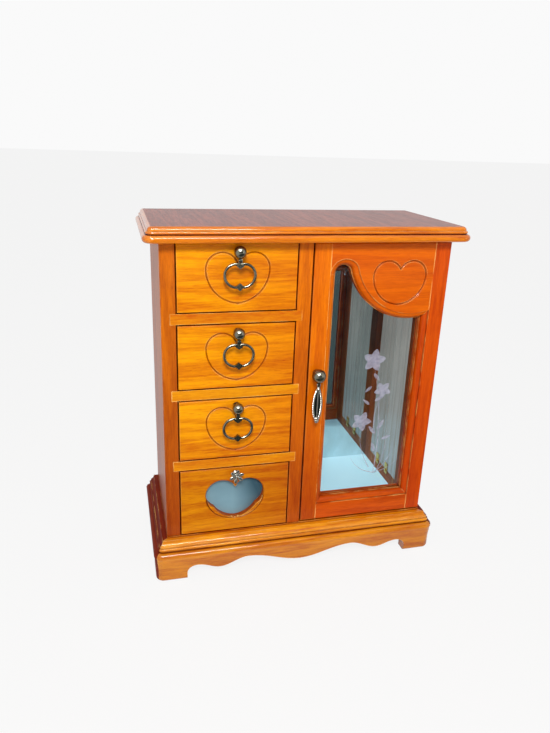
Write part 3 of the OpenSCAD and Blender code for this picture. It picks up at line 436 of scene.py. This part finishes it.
# %% [markdown]
# ### Top
# The top board is stained darker on its face than on its moulded edge, and the edge has the thicker coat.
# That darker face colour is partly stain and partly painted light, standing in for how the top looks
# under its pale reflection. Two materials would need two pieces, so one material holds both woods. A mask
# takes the face from the direction of the true normal: straight up is the face, anything else is the
# moulding.

# %% Varnish on the top
EDGE_COAT, FACE_COAT = 0.85, 0.16
NEARLY_LEVEL, LEVEL = 0.97, 0.995

top_wood = board("top_wood", (240, 140, 14), (176, 70, 4), "X", 12.0, ["top_board"], coat=0.8,
                 roughness=0.3)
top_tree = top_wood.node_tree
top_shader = find(top_tree, "BsdfPrincipled")
edge_colour = top_shader.inputs["Base Color"].links[0].from_socket
face_place = stretched(top_tree, on_piece(top_tree), ALONG["Y"])
# Face colour: partly stain and partly painted light, for the top under its reflection.
face_stain_and_light = place_group(top_tree, grain, {"Vector": face_place, "Light": colour(166, 78, 56),
                                          "Dark": colour(110, 40, 28), "Bands": 0.4, "Streaks": 0.85,
                                          "Blotches": 0.2})
upward = axes(top_tree, add(top_tree, "NewGeometry").outputs["True Normal"])["Z"]
face = spread(top_tree, upward, NEARLY_LEVEL, LEVEL)
fill(top_tree, top_shader, {"Base Color": mix(top_tree, face, edge_colour, face_stain_and_light["Color"]),
                            "Coat Weight": spread(top_tree, face, 0.0, 1.0, EDGE_COAT, FACE_COAT)})
print("top varnished, its face darker than its edge")

# %% [markdown]
# ## The plain wood inside
# The drawer boxes, the back and the glue blocks are left without varnish. They take the same grain with
# more streaks and no coat. Their sharp edges turn the wood's own light colour, from rubbing and as a
# painted highlight, and their grooves take grime and painted shade. The necklace wheel is varnished.

# %% Plain wood
# Groove colour of the plain wood: grime, and painted shade.
PLAIN_DIRT_AND_SHADE = colour(60, 36, 20)


def plain_board(name, light, dark, along, shift, pieces):
    board(name, light, dark, along, shift, pieces, streaks=0.5, worn=colour(*light), dirt=PLAIN_DIRT_AND_SHADE,
          roughness=0.7, coat=0.0)


plain_board("drawer_box_wood", (196, 142, 84), (150, 98, 52), "Y", 20.0,
            [f"drawer_{n}_walls" for n in DRAWERS])
plain_board("panel_wood", (196, 142, 88), (150, 98, 56), "X", 21.0,
            ["back_panel", "base_back", *[f"drawer_{n}_bottom" for n in DRAWERS]])
plain_board("block_wood", (186, 132, 80), (140, 92, 50), "Z", 22.0, ["base_blocks"])
board("wheel_wood", (190, 96, 30), (130, 54, 14), "Z", 23.0, ["necklace_wheel"])
print("plain wood dressed")

# %% [markdown]
# ## Felt
# The drawer floors and the compartment's pad are lined with a pale blue flocked card. It has no gloss, a
# soft sheen, and a very fine bump. The pad also glows a little. That is a help for the look, not a thing
# the real pad does: light that a real room bounces through the glass is missing in this plain studio.

# %% Felt
PAD_GLOW = 0.5
PILE_SCALE, CLOUD_SCALE = 1400.0, 30.0
PILE_BUMP = {"Strength": 0.25, "Distance": 0.0002}

felt, felt_tree, felt_shader = new_material("pale_felt", Roughness=0.95, Sheen_Weight=0.3)
felt_place = on_piece(felt_tree)
pile = noise(felt_tree, felt_place, PILE_SCALE, Detail=2.0)
cloudy = noise(felt_tree, felt_place, CLOUD_SCALE)
pile_bump = add(felt_tree, "Bump", {"Height": pile, **PILE_BUMP})
pale_blue = mix(felt_tree, cloudy, colour(168, 222, 240), colour(196, 236, 248))
fill(felt_tree, felt_shader, {"Base Color": pale_blue, "Normal": pile_bump.outputs[0]})
dress(felt, *[f"drawer_{n}_felt" for n in DRAWERS])

pad = felt.copy()
pad.name = "pale_felt_pad"
fill(pad.node_tree, find(pad.node_tree, "BsdfPrincipled"), {"Emission Color": colour(170, 220, 240),
                                                            "Emission Strength": PAD_GLOW})
dress(pad, "compartment_pad")
print("felt on the drawers, and on the pad with a glow of", PAD_GLOW)

# %% [markdown]
# ## Glass and frost
# Panes this thin hardly bend the light, so a thin-walled look is closest: mostly see-through, with a
# reflection that grows towards the edge-on view. Alpha does this without the dark edges of real
# refraction. Frost is ground glass: pale, dull and partly see-through. A fine noise makes it uneven.

# %% Door glass and frost
FROST_SCALE = 260.0
FROST_THIN, FROST_THICK = 0.42, 0.7

door_pane = new_material("door_glass", see_through=True, Base_Color=colour(40, 52, 54), Roughness=0.03,
                         Alpha=0.08)[0]
dress(door_pane, "door_glass")

frost, frost_tree, frost_shader = new_material("frost", see_through=True, Roughness=0.7)
ground = noise(frost_tree, on_piece(frost_tree), FROST_SCALE, Detail=3.0)
lavender = mix(frost_tree, ground, colour(150, 148, 176), colour(186, 188, 206))
fill(frost_tree, frost_shader, {"Base Color": lavender, "Alpha": spread(frost_tree, ground, 0.3, 0.7,
                                                                       FROST_THIN, FROST_THICK)})
print("door glass and frost ready")

# %% [markdown]
# ## Side pane
# The pane in the right side is a grey, uneven sheet: fine streaks run up and down it, and it turns bluer
# towards its foot. It is denser than the door's glass, and like the pad it glows a little, so that it
# stays as pale as it is in the photograph. The streaks are plain noise, stretched along the height.

# %% Side pane
PANE_GLOW = 0.42
PANE_STREAKS = (500.0, 260.0, 9.0)
STREAK_START, STREAK_END = 0.42, 0.62
BLUER_FROM, BLUER_TO = 0.2, 0.07


def streaky(tree, place, scale):
    return noise(tree, stretched(tree, place, scale), 1.0, Detail=4.0, Roughness=0.6)


side_pane, side_tree, side_shader = new_material("side_glass", see_through=True, Roughness=0.2, Alpha=0.8,
                                                 Emission_Color=colour(168, 172, 168),
                                                 Emission_Strength=PANE_GLOW)
side_place = on_piece(side_tree)
side_streaks = streaky(side_tree, side_place, PANE_STREAKS)
side_streaks = spread(side_tree, side_streaks, STREAK_START, STREAK_END)
bluer = spread(side_tree, axes(side_tree, side_place)["Z"], BLUER_FROM, BLUER_TO)
grey_blue = mix(side_tree, bluer, colour(158, 158, 150), colour(134, 162, 174))
fill(side_tree, side_shader, {"Base Color": mix(side_tree, side_streaks, grey_blue,
                                                colour(104, 108, 104))})
dress(side_pane, "side_glass")
print("side pane with a glow of", PANE_GLOW)

# %% [markdown]
# ## Mirror and heart window
# The mirror is polished metal with faint clouds. The pane behind the heart window is solid blue glass,
# which darkens to the right and the top, where the drawer front shades it. The darker places are given in
# metres on the cabinet.

# %% Mirror and heart window
MIRROR_CLOUDS, WINDOW_CLOUDS = (26.0, 26.0, 14.0), (60.0, 60.0, 60.0)
CLOUD_START, CLOUD_END = 0.38, 0.62
RIGHT_FROM, RIGHT_TO = -0.06, -0.036
TOP_FROM, TOP_TO, TOP_SHARE = 0.066, 0.094, 0.5

mirror, mirror_tree, mirror_shader = new_material("mirror", Metallic=1.0, Roughness=0.03)
clouds = streaky(mirror_tree, on_piece(mirror_tree), MIRROR_CLOUDS)
clouds = spread(mirror_tree, clouds, CLOUD_START, CLOUD_END)
fill(mirror_tree, mirror_shader, {"Base Color": mix(mirror_tree, clouds, colour(204, 216, 218),
                                                    colour(232, 240, 242))})
dress(mirror, "compartment_mirror")

window, window_tree, window_shader = new_material("window_glass", Roughness=0.1, Coat_Weight=0.5)
window_place = on_piece(window_tree)
window_spot = axes(window_tree, window_place)
to_right = spread(window_tree, window_spot["X"], RIGHT_FROM, RIGHT_TO)
to_top = spread(window_tree, window_spot["Z"], TOP_FROM, TOP_TO, 0.0, TOP_SHARE)
shaded = maths(window_tree, "ADD", to_right, to_top, clamp=True)
window_blue = mix(window_tree, streaky(window_tree, window_place, WINDOW_CLOUDS), colour(118, 156, 174),
                  colour(138, 174, 188))
fill(window_tree, window_shader, {"Base Color": mix(window_tree, shaded, window_blue,
                                                    colour(58, 88, 104))})
dress(window, "drawer_4_pane")
print("mirror and heart window dressed")

# %% [markdown]
# ## Metal
# The pulls are cast and plated to look like old silver: bright where fingers rub, near black in the
# hollows. Ambient occlusion finds the hollows, and its depth decides how wide a hollow may be and still go
# dark. The clips, hinges and hooks that few people see are plain brass and nickel.

# %% Group: tarnish
HOLLOW, OPEN = 0.35, 0.9
DULL, POLISHED = 0.6, 0.22

tarnish, tarnish_in, tarnish_out = new_group(
    "tarnish", {"Bright": "Color", "Dark": "Color", "Depth": "Float"}, {"Color": "Color", "Shine": "Float"})
hollow = add(tarnish, "AmbientOcclusion", {"Distance": tarnish_in["Depth"]}, samples=8)
rubbed_part = spread(tarnish, hollow.outputs["AO"], HOLLOW, OPEN)
plated = mix(tarnish, rubbed_part, tarnish_in["Dark"], tarnish_in["Bright"])
fill(tarnish, tarnish_out, {"Color": plated,
                            "Shine": spread(tarnish, rubbed_part, 0.0, 1.0, DULL, POLISHED)})


def cast_metal(name, bright, dark, depth=0.002):
    material, tree, shader = new_material(name, Metallic=1.0)
    parts = place_group(tree, tarnish, {"Bright": bright, "Dark": dark, "Depth": depth})
    fill(tree, shader, {"Base Color": parts["Color"], "Roughness": parts["Shine"]})
    return material


print("group", tarnish.name)

# %% [markdown]
# Old silver comes three times. The balls and rings have a plain one, the drop and the flower a brighter
# one whose hollows may be wider, and the hollow of the drop a dark green-grey one. The catch's magnet
# sits in a brown plastic case.

# %% Metal on the pulls and fittings
silver = cast_metal("antique_silver", colour(126, 124, 110), colour(12, 12, 9), depth=0.0016)
bright_silver = cast_metal("antique_silver_bright", colour(182, 180, 170), colour(6, 10, 6), depth=0.003)
dark_silver = cast_metal("antique_silver_dark", colour(70, 84, 76), colour(10, 12, 10))
brass = cast_metal("brass", colour(214, 178, 96), colour(80, 54, 20))
nickel = cast_metal("nickel", colour(206, 206, 206), colour(60, 60, 60))
magnet_case = new_material("magnet_case", Roughness=0.6, Base_Color=colour(70, 46, 34))[0]

dress(silver, "door_knob", "door_pendant", *[f"drawer_{n}_knob" for n in DRAWERS],
      *[f"drawer_{n}_ring" for n in DRAWERS[:3]])
dress(brass, "side_glass_clips", "hinge_case_leaves", "hinge_door_leaves", "hinge_pins", "wheel_post")
dress(nickel, "necklace_hooks", "catch_strike")
dress(magnet_case, "catch_magnet")
print("metal fittings dressed")

# %% [markdown]
# ## Small cast pieces
# The drop on the door and the flower on the bottom drawer are too fine for the CAD model, so they are
# modelled here, in millimetres about the point where each one hangs or bolts on. Most of their parts are
# turned: a profile is spun all the way round a line. Blocks get their edges softened with a small bevel.
# At the end a shape is closed, its normals are turned outwards, and it is scaled to metres and put in its
# place in the mesh itself, so that its object stays at the origin.

# %% Helpers for cast pieces
MM = 0.001
SEAM = 1e-3


def points_since(shape, before):
    return [vert for vert in shape.verts if vert not in before]


def turned(shape, profile, place=Matrix(), steps=24):
    """Spins a profile of (radius, height) points all the way round the Z line, then puts it in place."""
    before = set(shape.verts)
    corners = [shape.verts.new((radius, 0, height)) for radius, height in profile]
    lines = [shape.edges.new(pair) for pair in zip(corners, corners[1:])]
    bmesh.ops.spin(shape, geom=corners + lines, cent=(0, 0, 0), axis=(0, 0, 1), angle=math.tau, steps=steps,
                   use_merge=True)
    bmesh.ops.transform(shape, matrix=place, verts=points_since(shape, before))


def softened(shape, block, offset):
    """Bevels all the edges of a block."""
    bmesh.ops.bevel(shape, geom=list({edge for vert in block for edge in vert.link_edges}), offset=offset,
                    segments=2, profile=0.5, affect="EDGES", material=-1)


def finished(name, shape, material, body, place, closed=True):
    """Closes a shape, turns its faces outwards, and makes it a piece that rides on a body."""
    if closed:
        bmesh.ops.remove_doubles(shape, verts=shape.verts, dist=SEAM)
        bmesh.ops.holes_fill(shape, edges=[edge for edge in shape.edges if edge.is_boundary])
        bmesh.ops.recalc_face_normals(shape, faces=shape.faces)
    for face in shape.faces:
        face.smooth = True
    bmesh.ops.transform(shape, matrix=Matrix.Translation(place) @ Matrix.Scale(MM, 4), verts=shape.verts)
    mesh = bpy.data.meshes.new(name)
    shape.to_mesh(mesh)
    shape.free()
    mesh.materials.append(material)
    made = bpy.data.objects.new(name, mesh)
    bpy.context.scene.collection.objects.link(made)
    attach(made, body)
    print(f"{name}: {len(mesh.polygons)} faces on {body}")
    return made


print("cast pieces are drawn in millimetres; doubles closer than", SEAM, "mm are joined")

# %% [markdown]
# ## The drop on the door
# The real drop is a cast lens: two ropes that bow apart, a dark hollow between them with a thin twisted
# ridge down it, and a turned foot. A rope could be a twisted texture, but its grooves have to be deep
# enough for the tarnish to darken. So each rope is two strands wound round each other and then bent. A
# strand is a small circle that a screw carries downwards.

# %% The drop: ropes and ridge
ROPE_TOP, ROPE_FOOT = -4.2, -30.6
ROPE_APART = 3.5
BOW_TOP, BOW_FOOT = 0.09, 0.84
RIDGE_FORWARD = 0.35
STEPS_PER_TURN = 14
ROPE_STRAND = {"radius": 0.66, "offset": 0.46, "turns": 6.5, "sides": 9}
RIDGE_STRAND = {"radius": 0.34, "offset": 0.26, "turns": 5.0, "sides": 7}


def bow(height):
    """How far a rope's middle stands from the centre line: part of a half wave, widest above the middle."""
    down = (ROPE_TOP - height) / (ROPE_TOP - ROPE_FOOT)
    down = min(max(down, 0.0), 1.0)
    return ROPE_APART * math.sin(math.pi * (BOW_TOP + (BOW_FOOT - BOW_TOP) * down))


def strand(shape, start, radius, offset, turns, sides):
    """Carries a circle from the top to the foot while it turns about the Z line at a small offset."""
    before = set(shape.verts)
    old_edges = set(shape.edges)
    bmesh.ops.create_circle(shape, radius=radius, segments=sides, matrix=Matrix.Rotation(start, 4, "Z")
                            @ Matrix.Translation((offset, 0, ROPE_TOP)))
    circle = points_since(shape, before) + [edge for edge in shape.edges if edge not in old_edges]
    steps = round(turns * STEPS_PER_TURN)
    bmesh.ops.spin(shape, geom=circle, cent=(0, 0, 0), axis=(0, 0, 1), angle=turns * math.tau, steps=steps,
                   dvec=(0, 0, (ROPE_FOOT - ROPE_TOP) / steps))
    return points_since(shape, before)


drop = bmesh.new()
for side in (-1, 1):
    for start in (0.0, math.pi):
        for vert in strand(drop, start, **ROPE_STRAND):
            vert.co.x += side * bow(vert.co.z)
for start in (0.0, math.pi):
    bmesh.ops.translate(drop, vec=(0, -RIDGE_FORWARD, 0), verts=strand(drop, start, **RIDGE_STRAND))
print(f"ropes {ROPE_TOP - ROPE_FOOT:.1f} mm long, {bow((ROPE_TOP + ROPE_FOOT) / 2):.1f} mm off the middle")

# %% [markdown]
# The drop hangs from the ball's lug by two cheeks and a pin, which stay clear of the lug so that it can
# swing. Pin, cheeks, neck and foot are turned, and two small straps join the cheeks to the neck. The
# place of the pin is the joint's own, so the piece turns about it exactly.

# %% The drop: cheeks, pin, neck and foot
ACROSS = Matrix.Rotation(math.radians(90), 4, "Y")
CHEEK_SIDE = 1.15
STRAP_SIZE, STRAP_DOWN, STRAP_BEVEL = (0.7, 1.5, 2.4), 1.3, 0.15
FOOT_FLATNESS = (1.15, 0.74, 1.0, 1.0)
PIN = [(0, -1.75), (0.35, -1.75), (0.5, -1.6), (0.5, 1.6), (0.35, 1.75), (0, 1.75)]
CHEEK = [(0, -0.4), (0.95, -0.4), (1.1, -0.25), (1.1, 0.25), (0.95, 0.4), (0, 0.4)]
NECK = [(0, -1.75), (1.4, -1.8), (1.55, -2.1), (1.45, -2.5), (0.95, -2.8), (0.9, -3.2), (1.5, -3.5),
        (1.85, -4.0), (1.7, -4.6), (1.1, -5.1), (0, -5.2)]
FOOT = [(0, -29.4), (1.5, -29.5), (2.3, -29.9), (2.5, -30.5), (2.3, -31.1), (1.5, -31.5), (1.35, -31.8),
        (1.75, -32.1), (1.95, -32.6), (1.8, -33.1), (1.25, -33.4), (1.15, -33.6), (1.45, -33.9),
        (1.4, -34.3), (0.9, -34.8), (0, -34.95)]
drop_pin = Vector(next(joint["pos_m"] for joint in frame["joints"] if joint["name"] == "pendant_swing"))

turned(drop, PIN, ACROSS, 16)
for side in (-CHEEK_SIDE, CHEEK_SIDE):
    turned(drop, CHEEK, Matrix.Translation((side, 0, 0)) @ ACROSS)
    strap = bmesh.ops.create_cube(drop, size=1.0, matrix=Matrix.Translation((side, 0, -STRAP_DOWN))
                                  @ Matrix.Diagonal((*STRAP_SIZE, 1.0)))["verts"]
    softened(drop, strap, STRAP_BEVEL)
turned(drop, NECK)
turned(drop, FOOT, Matrix.Diagonal(FOOT_FLATNESS))
drop = finished("door_drop", drop, bright_silver, "pendant", drop_pin)
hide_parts("door_pendant")

# %% [markdown]
# Behind the ridge lies a dished dark sheet that fills the gap between the ropes. It starts as a flat
# grid, and each row is drawn out as wide as the ropes stand apart there. Solidify closes it with a second
# skin. It pushes along the grid's first normals, which point up, so that skin lies half a millimetre
# lower on the same curve, and the sheet has no thickness to speak of.

# %% The drop: hollow
DISH_BACK, DISH_DEEP = 0.35, 0.6
SECOND_SKIN = 0.5

sheet_behind = bmesh.new()
bmesh.ops.create_grid(sheet_behind, x_segments=4, y_segments=30, size=0.5)
for vert in sheet_behind.verts:
    across = 2 * vert.co.x
    height = ROPE_FOOT + (vert.co.y + 0.5) * (ROPE_TOP - ROPE_FOOT)
    vert.co = Vector((across * bow(height), DISH_BACK + DISH_DEEP * (1 - across ** 2), height))
bmesh.ops.solidify(sheet_behind, geom=sheet_behind.faces, thickness=SECOND_SKIN)
sheet_behind = finished("door_drop_hollow", sheet_behind, dark_silver, "pendant", drop_pin)

# %% [markdown]
# ## The flower on the bottom drawer
# Six petals stand out from a bead, like a small cast button. Each petal is a sphere that is drawn out,
# flattened and pinched towards the middle, with its tip lifted and a flute down its front, so that the
# deep gaps between them go dark. A turned stem and bolt go through the drawer front to a hexagonal nut
# behind it. The flower sits in the middle of the drawer front, a little below its top.

# %% The flower: stem, bead and nut
FORWARD = Matrix.Rotation(math.radians(90), 4, "X")
BELOW_TOP = 0.0056
BEAD_BACK = 0.3
NUT_RADIUS, NUT_THICK, NUT_BACK, NUT_BEVEL = 2.6, 1.75, 11.95, 0.2
STEM = [(0, -13.35), (1.0, -13.35), (1.1, -13.2), (1.1, -0.2), (1.3, 0.0), (2.7, 0.0), (2.7, 0.5),
        (2.3, 0.8), (1.6, 1.0), (1.4, 2.0), (1.5, 3.4), (2.6, 4.6), (2.0, 5.6), (0, 5.9)]
BEAD = [(0, 5.2), (1.0, 5.4), (1.05, 5.9), (0.85, 6.6), (0.5, 7.0), (0, 7.15)]
front_low, front_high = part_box("drawer_4_front")
flower_place = Vector(((front_low[0] + front_high[0]) / 2, front_low[1], front_high[2] - BELOW_TOP))

flower = bmesh.new()
turned(flower, STEM, FORWARD)
turned(flower, BEAD, Matrix.Translation((0, 0, -BEAD_BACK)) @ FORWARD)
nut = bmesh.ops.create_cone(flower, cap_ends=True, segments=6, radius1=NUT_RADIUS, radius2=NUT_RADIUS,
                            depth=NUT_THICK, matrix=Matrix.Translation((0, NUT_BACK, 0)) @ FORWARD)["verts"]
softened(flower, nut, NUT_BEVEL)
print("flower bolted on at", [round(x, 4) for x in flower_place])

# %% [markdown]
# A petal is shaped from a ball of radius 1. Each of its points knows how far out it lies, from 0 at the
# root to 1 at the tip, and the formulas below turn that into a width and a lift. The flute is a groove
# down the middle of the front.

# %% The flower: petals
PETALS = 6
FIRST_PETAL = 20
PETAL_FORWARD = 4.9
ROOT, REACH = 0.9, 5.7
HALF_WIDTH, HALF_THICKNESS = 1.42, 0.95
TIP_LIFT, ALL_LIFT = 1.1, 0.5
FLUTE_DEPTH, FLUTE_WIDTH = 0.28, 0.16
ROOT_SHARE, BELLY_SHARE = 0.25, 0.95
BELLY_OUTWARD, BELLY_FULLNESS = 1.25, 0.6


def petal_width(out):
    """Narrow at the root, widest a little past the middle, round at the tip."""
    belly = max(0.0, math.sin(math.pi * out ** BELLY_OUTWARD)) ** BELLY_FULLNESS
    return HALF_WIDTH * (ROOT_SHARE + BELLY_SHARE * belly)


for number in range(PETALS):
    petal = bmesh.ops.create_uvsphere(flower, u_segments=20, v_segments=14, radius=1.0)["verts"]
    for vert in petal:
        out = max(0.0, (vert.co.x + 1) / 2)
        flute = FLUTE_DEPTH * math.exp(-(vert.co.z / FLUTE_WIDTH) ** 2) if vert.co.y < 0 else 0.0
        vert.co = Vector((ROOT + REACH * out,
                          HALF_THICKNESS * vert.co.y + flute - ALL_LIFT - TIP_LIFT * out ** 2,
                          petal_width(out) * vert.co.z))
    turn = -math.radians(FIRST_PETAL + 360 / PETALS * number)
    bmesh.ops.transform(flower, verts=petal, matrix=Matrix.Translation((0, -PETAL_FORWARD, 0))
                        @ Matrix.Rotation(turn, 4, "Y"))
flower = finished("drawer_4_flower", flower, bright_silver, "drawer_4", flower_place)
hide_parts("drawer_4_knob")

# %% [markdown]
# ## Frosted spray on the door glass
# The door glass carries a spray of flowers, etched so that it looks like pale frost. It has no thickness
# that an eye can see, so it is cut from flat sheets that lie 0.04 mm in front of the pane. Blossoms and
# leaves are circles stretched into ovals that narrow to their tips, and stalks are strips bent to a curve.
# Each petal lies a hair in front of the one before it, so that no two petals share a plane.

# %% Helpers for the spray
OVAL_SIDES = 22
STALK_STEPS = 18
TIP_NARROWER = 0.5
STALK_TAPER = 1.1


def oval(shape, place, long, wide, lean, forward=0.0):
    """A flat oval whose root is at place, leaning by so many degrees from upright."""
    before = set(shape.verts)
    bmesh.ops.create_circle(shape, cap_ends=True, radius=0.5, segments=OVAL_SIDES)
    made = points_since(shape, before)
    for vert in made:
        vert.co.x *= 1.0 - TIP_NARROWER * (vert.co.y + 0.5) ** 3
    bmesh.ops.transform(shape, verts=made, matrix=Matrix.Translation((place[0], -forward, place[1]))
                        @ Matrix.Rotation(math.radians(lean), 4, "Y") @ FORWARD
                        @ Matrix.Diagonal((wide, long, 1, 1)) @ Matrix.Translation((0, 0.5, 0)))


def stalk(shape, start, end, bend, width):
    """A strip from start to end that bends sideways and tapers to its end."""
    before = set(shape.verts)
    bmesh.ops.create_grid(shape, x_segments=1, y_segments=STALK_STEPS, size=0.5)
    path = Vector(end) - Vector(start)
    sideways = Vector((path.y, -path.x)).normalized()
    for vert in points_since(shape, before):
        along = vert.co.y + 0.5
        off_path = bend * math.sin(math.pi * along) + 2 * vert.co.x * width * (STALK_TAPER - along)
        spot = Vector(start) + path * along + sideways * off_path
        vert.co = Vector((spot.x, 0, spot.y))


print(f"ovals have {OVAL_SIDES} sides, stalks {STALK_STEPS} steps")

# %% [markdown]
# The spray is laid out in millimetres to the right of the cabinet's middle and up from the table: three
# blossoms of five petals, leaves that lean off the stalks, and stalks that fan out from one foot. A
# blossom or a leaf is its root, its length and its lean in degrees, and a stalk its start, end, bend and
# width.

# %% The frosted spray
SPRAY_OFF_GLASS = 0.04
SPRAY_PETALS = 5
PETAL_HAIR, BLOSSOM_HAIR = 0.002, 0.02
PETAL_SHAPE, LEAF_SHAPE = 0.72, 0.34
BLOSSOMS = (((62, 188), 10.5, 10), ((72.5, 160), 8.0, 40), ((55, 131), 9.5, 24))
LEAVES = (((63, 176), 9, 140), ((62, 164), 8, -130), ((66, 150), 9, 60), ((61, 147), 8, -50),
          ((71, 122), 11, 30), ((69, 118), 10, -40), ((76, 112), 9, 70), ((70, 100), 10, -20))
STALKS = (((71, 78), (62, 186), 5, 0.55), ((68, 120), (72.5, 158), -3, 0.45),
          ((66, 84), (55, 129), -4, 0.45), ((72, 78), (88, 108), 4, 0.5), ((72, 78), (47, 96), -4, 0.5),
          ((73, 78), (80, 122), 3, 0.45), ((70, 78), (96, 92), 3, 0.4))
glass_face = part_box("door_glass")[0][1]

spray = bmesh.new()
for blossom, (place, size, turn) in enumerate(BLOSSOMS):
    for petal in range(SPRAY_PETALS):
        oval(spray, place, size, size * PETAL_SHAPE, turn + 360 / SPRAY_PETALS * petal,
             PETAL_HAIR * petal + BLOSSOM_HAIR * blossom)
for place, size, lean in LEAVES:
    oval(spray, place, size, size * LEAF_SHAPE, lean)
for start, end, bend, width in STALKS:
    stalk(spray, start, end, bend, width)
spray_place = Vector((0, glass_face - SPRAY_OFF_GLASS * MM, 0))
spray = finished("door_glass_spray", spray, frost, "door", spray_place, closed=False)

# %% [markdown]
# ## The studio
# A pale floor and a white world, which the camera, the metal and the glass all see. Both are shown
# brighter than they light the cabinet, because a Light Path node tells apart the rays that look from the
# rays that light. The floor keeps a little of its own shading, so the cabinet's shadow stays on it.

# %% Floor and world
SKY_LIGHT, SKY_SHOWN = 0.35, 0.955
FLOOR_GLOW, FLOOR_SHOWN = 0.975, 0.88
WHITE = (1.0, 1.0, 1.0, 1.0)


def seen(tree):
    """1 for rays from the camera, a reflection or a pane of glass, and 0 for light that falls on things."""
    path = add(tree, "LightPath").outputs
    return maths(tree, "MAXIMUM", path["Is Camera Ray"],
                 maths(tree, "MAXIMUM", path["Is Glossy Ray"], path["Is Transmission Ray"]))


bpy.context.scene.view_settings.view_transform = "Standard"
world = bpy.data.worlds.new("studio")
bpy.context.scene.world = world
world.use_nodes = True
sky = world.node_tree
sky.nodes.clear()
lit = add(sky, "Background", {"Color": (1.0, 0.985, 0.96, 1.0), "Strength": SKY_LIGHT})
white = add(sky, "Background", {"Color": WHITE, "Strength": SKY_SHOWN})
shown = add(sky, "MixShader", {0: seen(sky), 1: lit.outputs[0], 2: white.outputs[0]})
add(sky, "OutputWorld", {"Surface": shown.outputs[0]})

floor_material, floor_tree, floor_shader = new_material("floor", Base_Color=(0.8, 0.8, 0.8, 1.0),
                                                        Roughness=0.9)
glow = add(floor_tree, "Emission", {"Color": WHITE, "Strength": FLOOR_GLOW})
floor_mix = add(floor_tree, "MixShader", {0: maths(floor_tree, "MULTIPLY", seen(floor_tree), FLOOR_SHOWN),
                                          1: floor_shader.outputs[0], 2: glow.outputs[0]})
fill(floor_tree, find(floor_tree, "OutputMaterial"), {"Surface": floor_mix.outputs[0]})
print(f"the sky lights with {SKY_LIGHT} and shows as {SKY_SHOWN}")

# %% [markdown]
# The mirror and the metal need something dark to show, as a real room gives them. A dark curtain hangs
# behind the camera and a dark cloth lies in front of the cabinet. They are staging: only reflections see
# them, so they neither show in the picture nor shade the floor.

# %% Floor, curtain and cloth
FLOOR_HALF, CURTAIN_HALF, CLOTH_HALF = 12.0, 0.75, 0.5
FLOOR_PLACE = Matrix.Translation((0, 0, -0.0002))
CURTAIN_PLACE = Matrix.Translation((0.1, -1.05, 0.9)) @ FORWARD
CLOTH_PLACE = Matrix.Translation((0.22, -0.62, 0.0003))


def sheet(name, half, material, place):
    mesh = bpy.data.meshes.new(name)
    grid = bmesh.new()
    bmesh.ops.create_grid(grid, x_segments=1, y_segments=1, size=half, matrix=place)
    grid.to_mesh(mesh)
    grid.free()
    mesh.materials.append(material)
    made = bpy.data.objects.new(name, mesh)
    bpy.context.scene.collection.objects.link(made)
    return made


curtain_material = new_material("curtain", Base_Color=colour(20, 34, 38), Roughness=1.0)[0]
cloth_material = new_material("dark_cloth", Base_Color=colour(54, 74, 76), Roughness=1.0)[0]
sheet("floor", FLOOR_HALF, floor_material, FLOOR_PLACE)
curtain = sheet("curtain", CURTAIN_HALF, curtain_material, CURTAIN_PLACE)
cloth = sheet("dark_cloth", CLOTH_HALF, cloth_material, CLOTH_PLACE)
for backdrop in (curtain, cloth):
    backdrop.visible_camera = False
    backdrop.visible_diffuse = False
    backdrop.visible_transmission = False
    backdrop.visible_shadow = False
print("floor, curtain and cloth staged")

# %% [markdown]
# The light is plain: a key lamp above the camera, a weak fill from the right, and a long strip above that
# only shows as a glint along the mouldings, because it is hidden from diffuse surfaces.

# %% Lamps
AIM = Vector((0, 0, 0.2))


def lamp(name, place, size, power, tint=(1.0, 1.0, 1.0), width=None):
    """A round lamp, or a rectangular one if it has a width, aimed at the middle of the cabinet."""
    data = bpy.data.lights.new(name, "AREA")
    data.shape = "RECTANGLE" if width else "DISK"
    data.size = width or size
    if width:
        data.size_y = size
    data.energy = power
    data.color = tint
    made = bpy.data.objects.new(name, data)
    made.location = place
    made.rotation_euler = (AIM - Vector(place)).to_track_quat("-Z", "Y").to_euler()
    bpy.context.scene.collection.objects.link(made)
    print(f"lamp {name}: {power} W")
    return made


lamp("key", (-0.22, -0.85, 0.86), 0.25, 9.0, (1.0, 0.98, 0.95))
lamp("fill", (0.9, -1.2, 0.5), 0.6, 2.0)
strip = lamp("strip", (-0.25, -0.75, 1.1), 0.16, 20.0, width=1.0)
strip.visible_diffuse = False
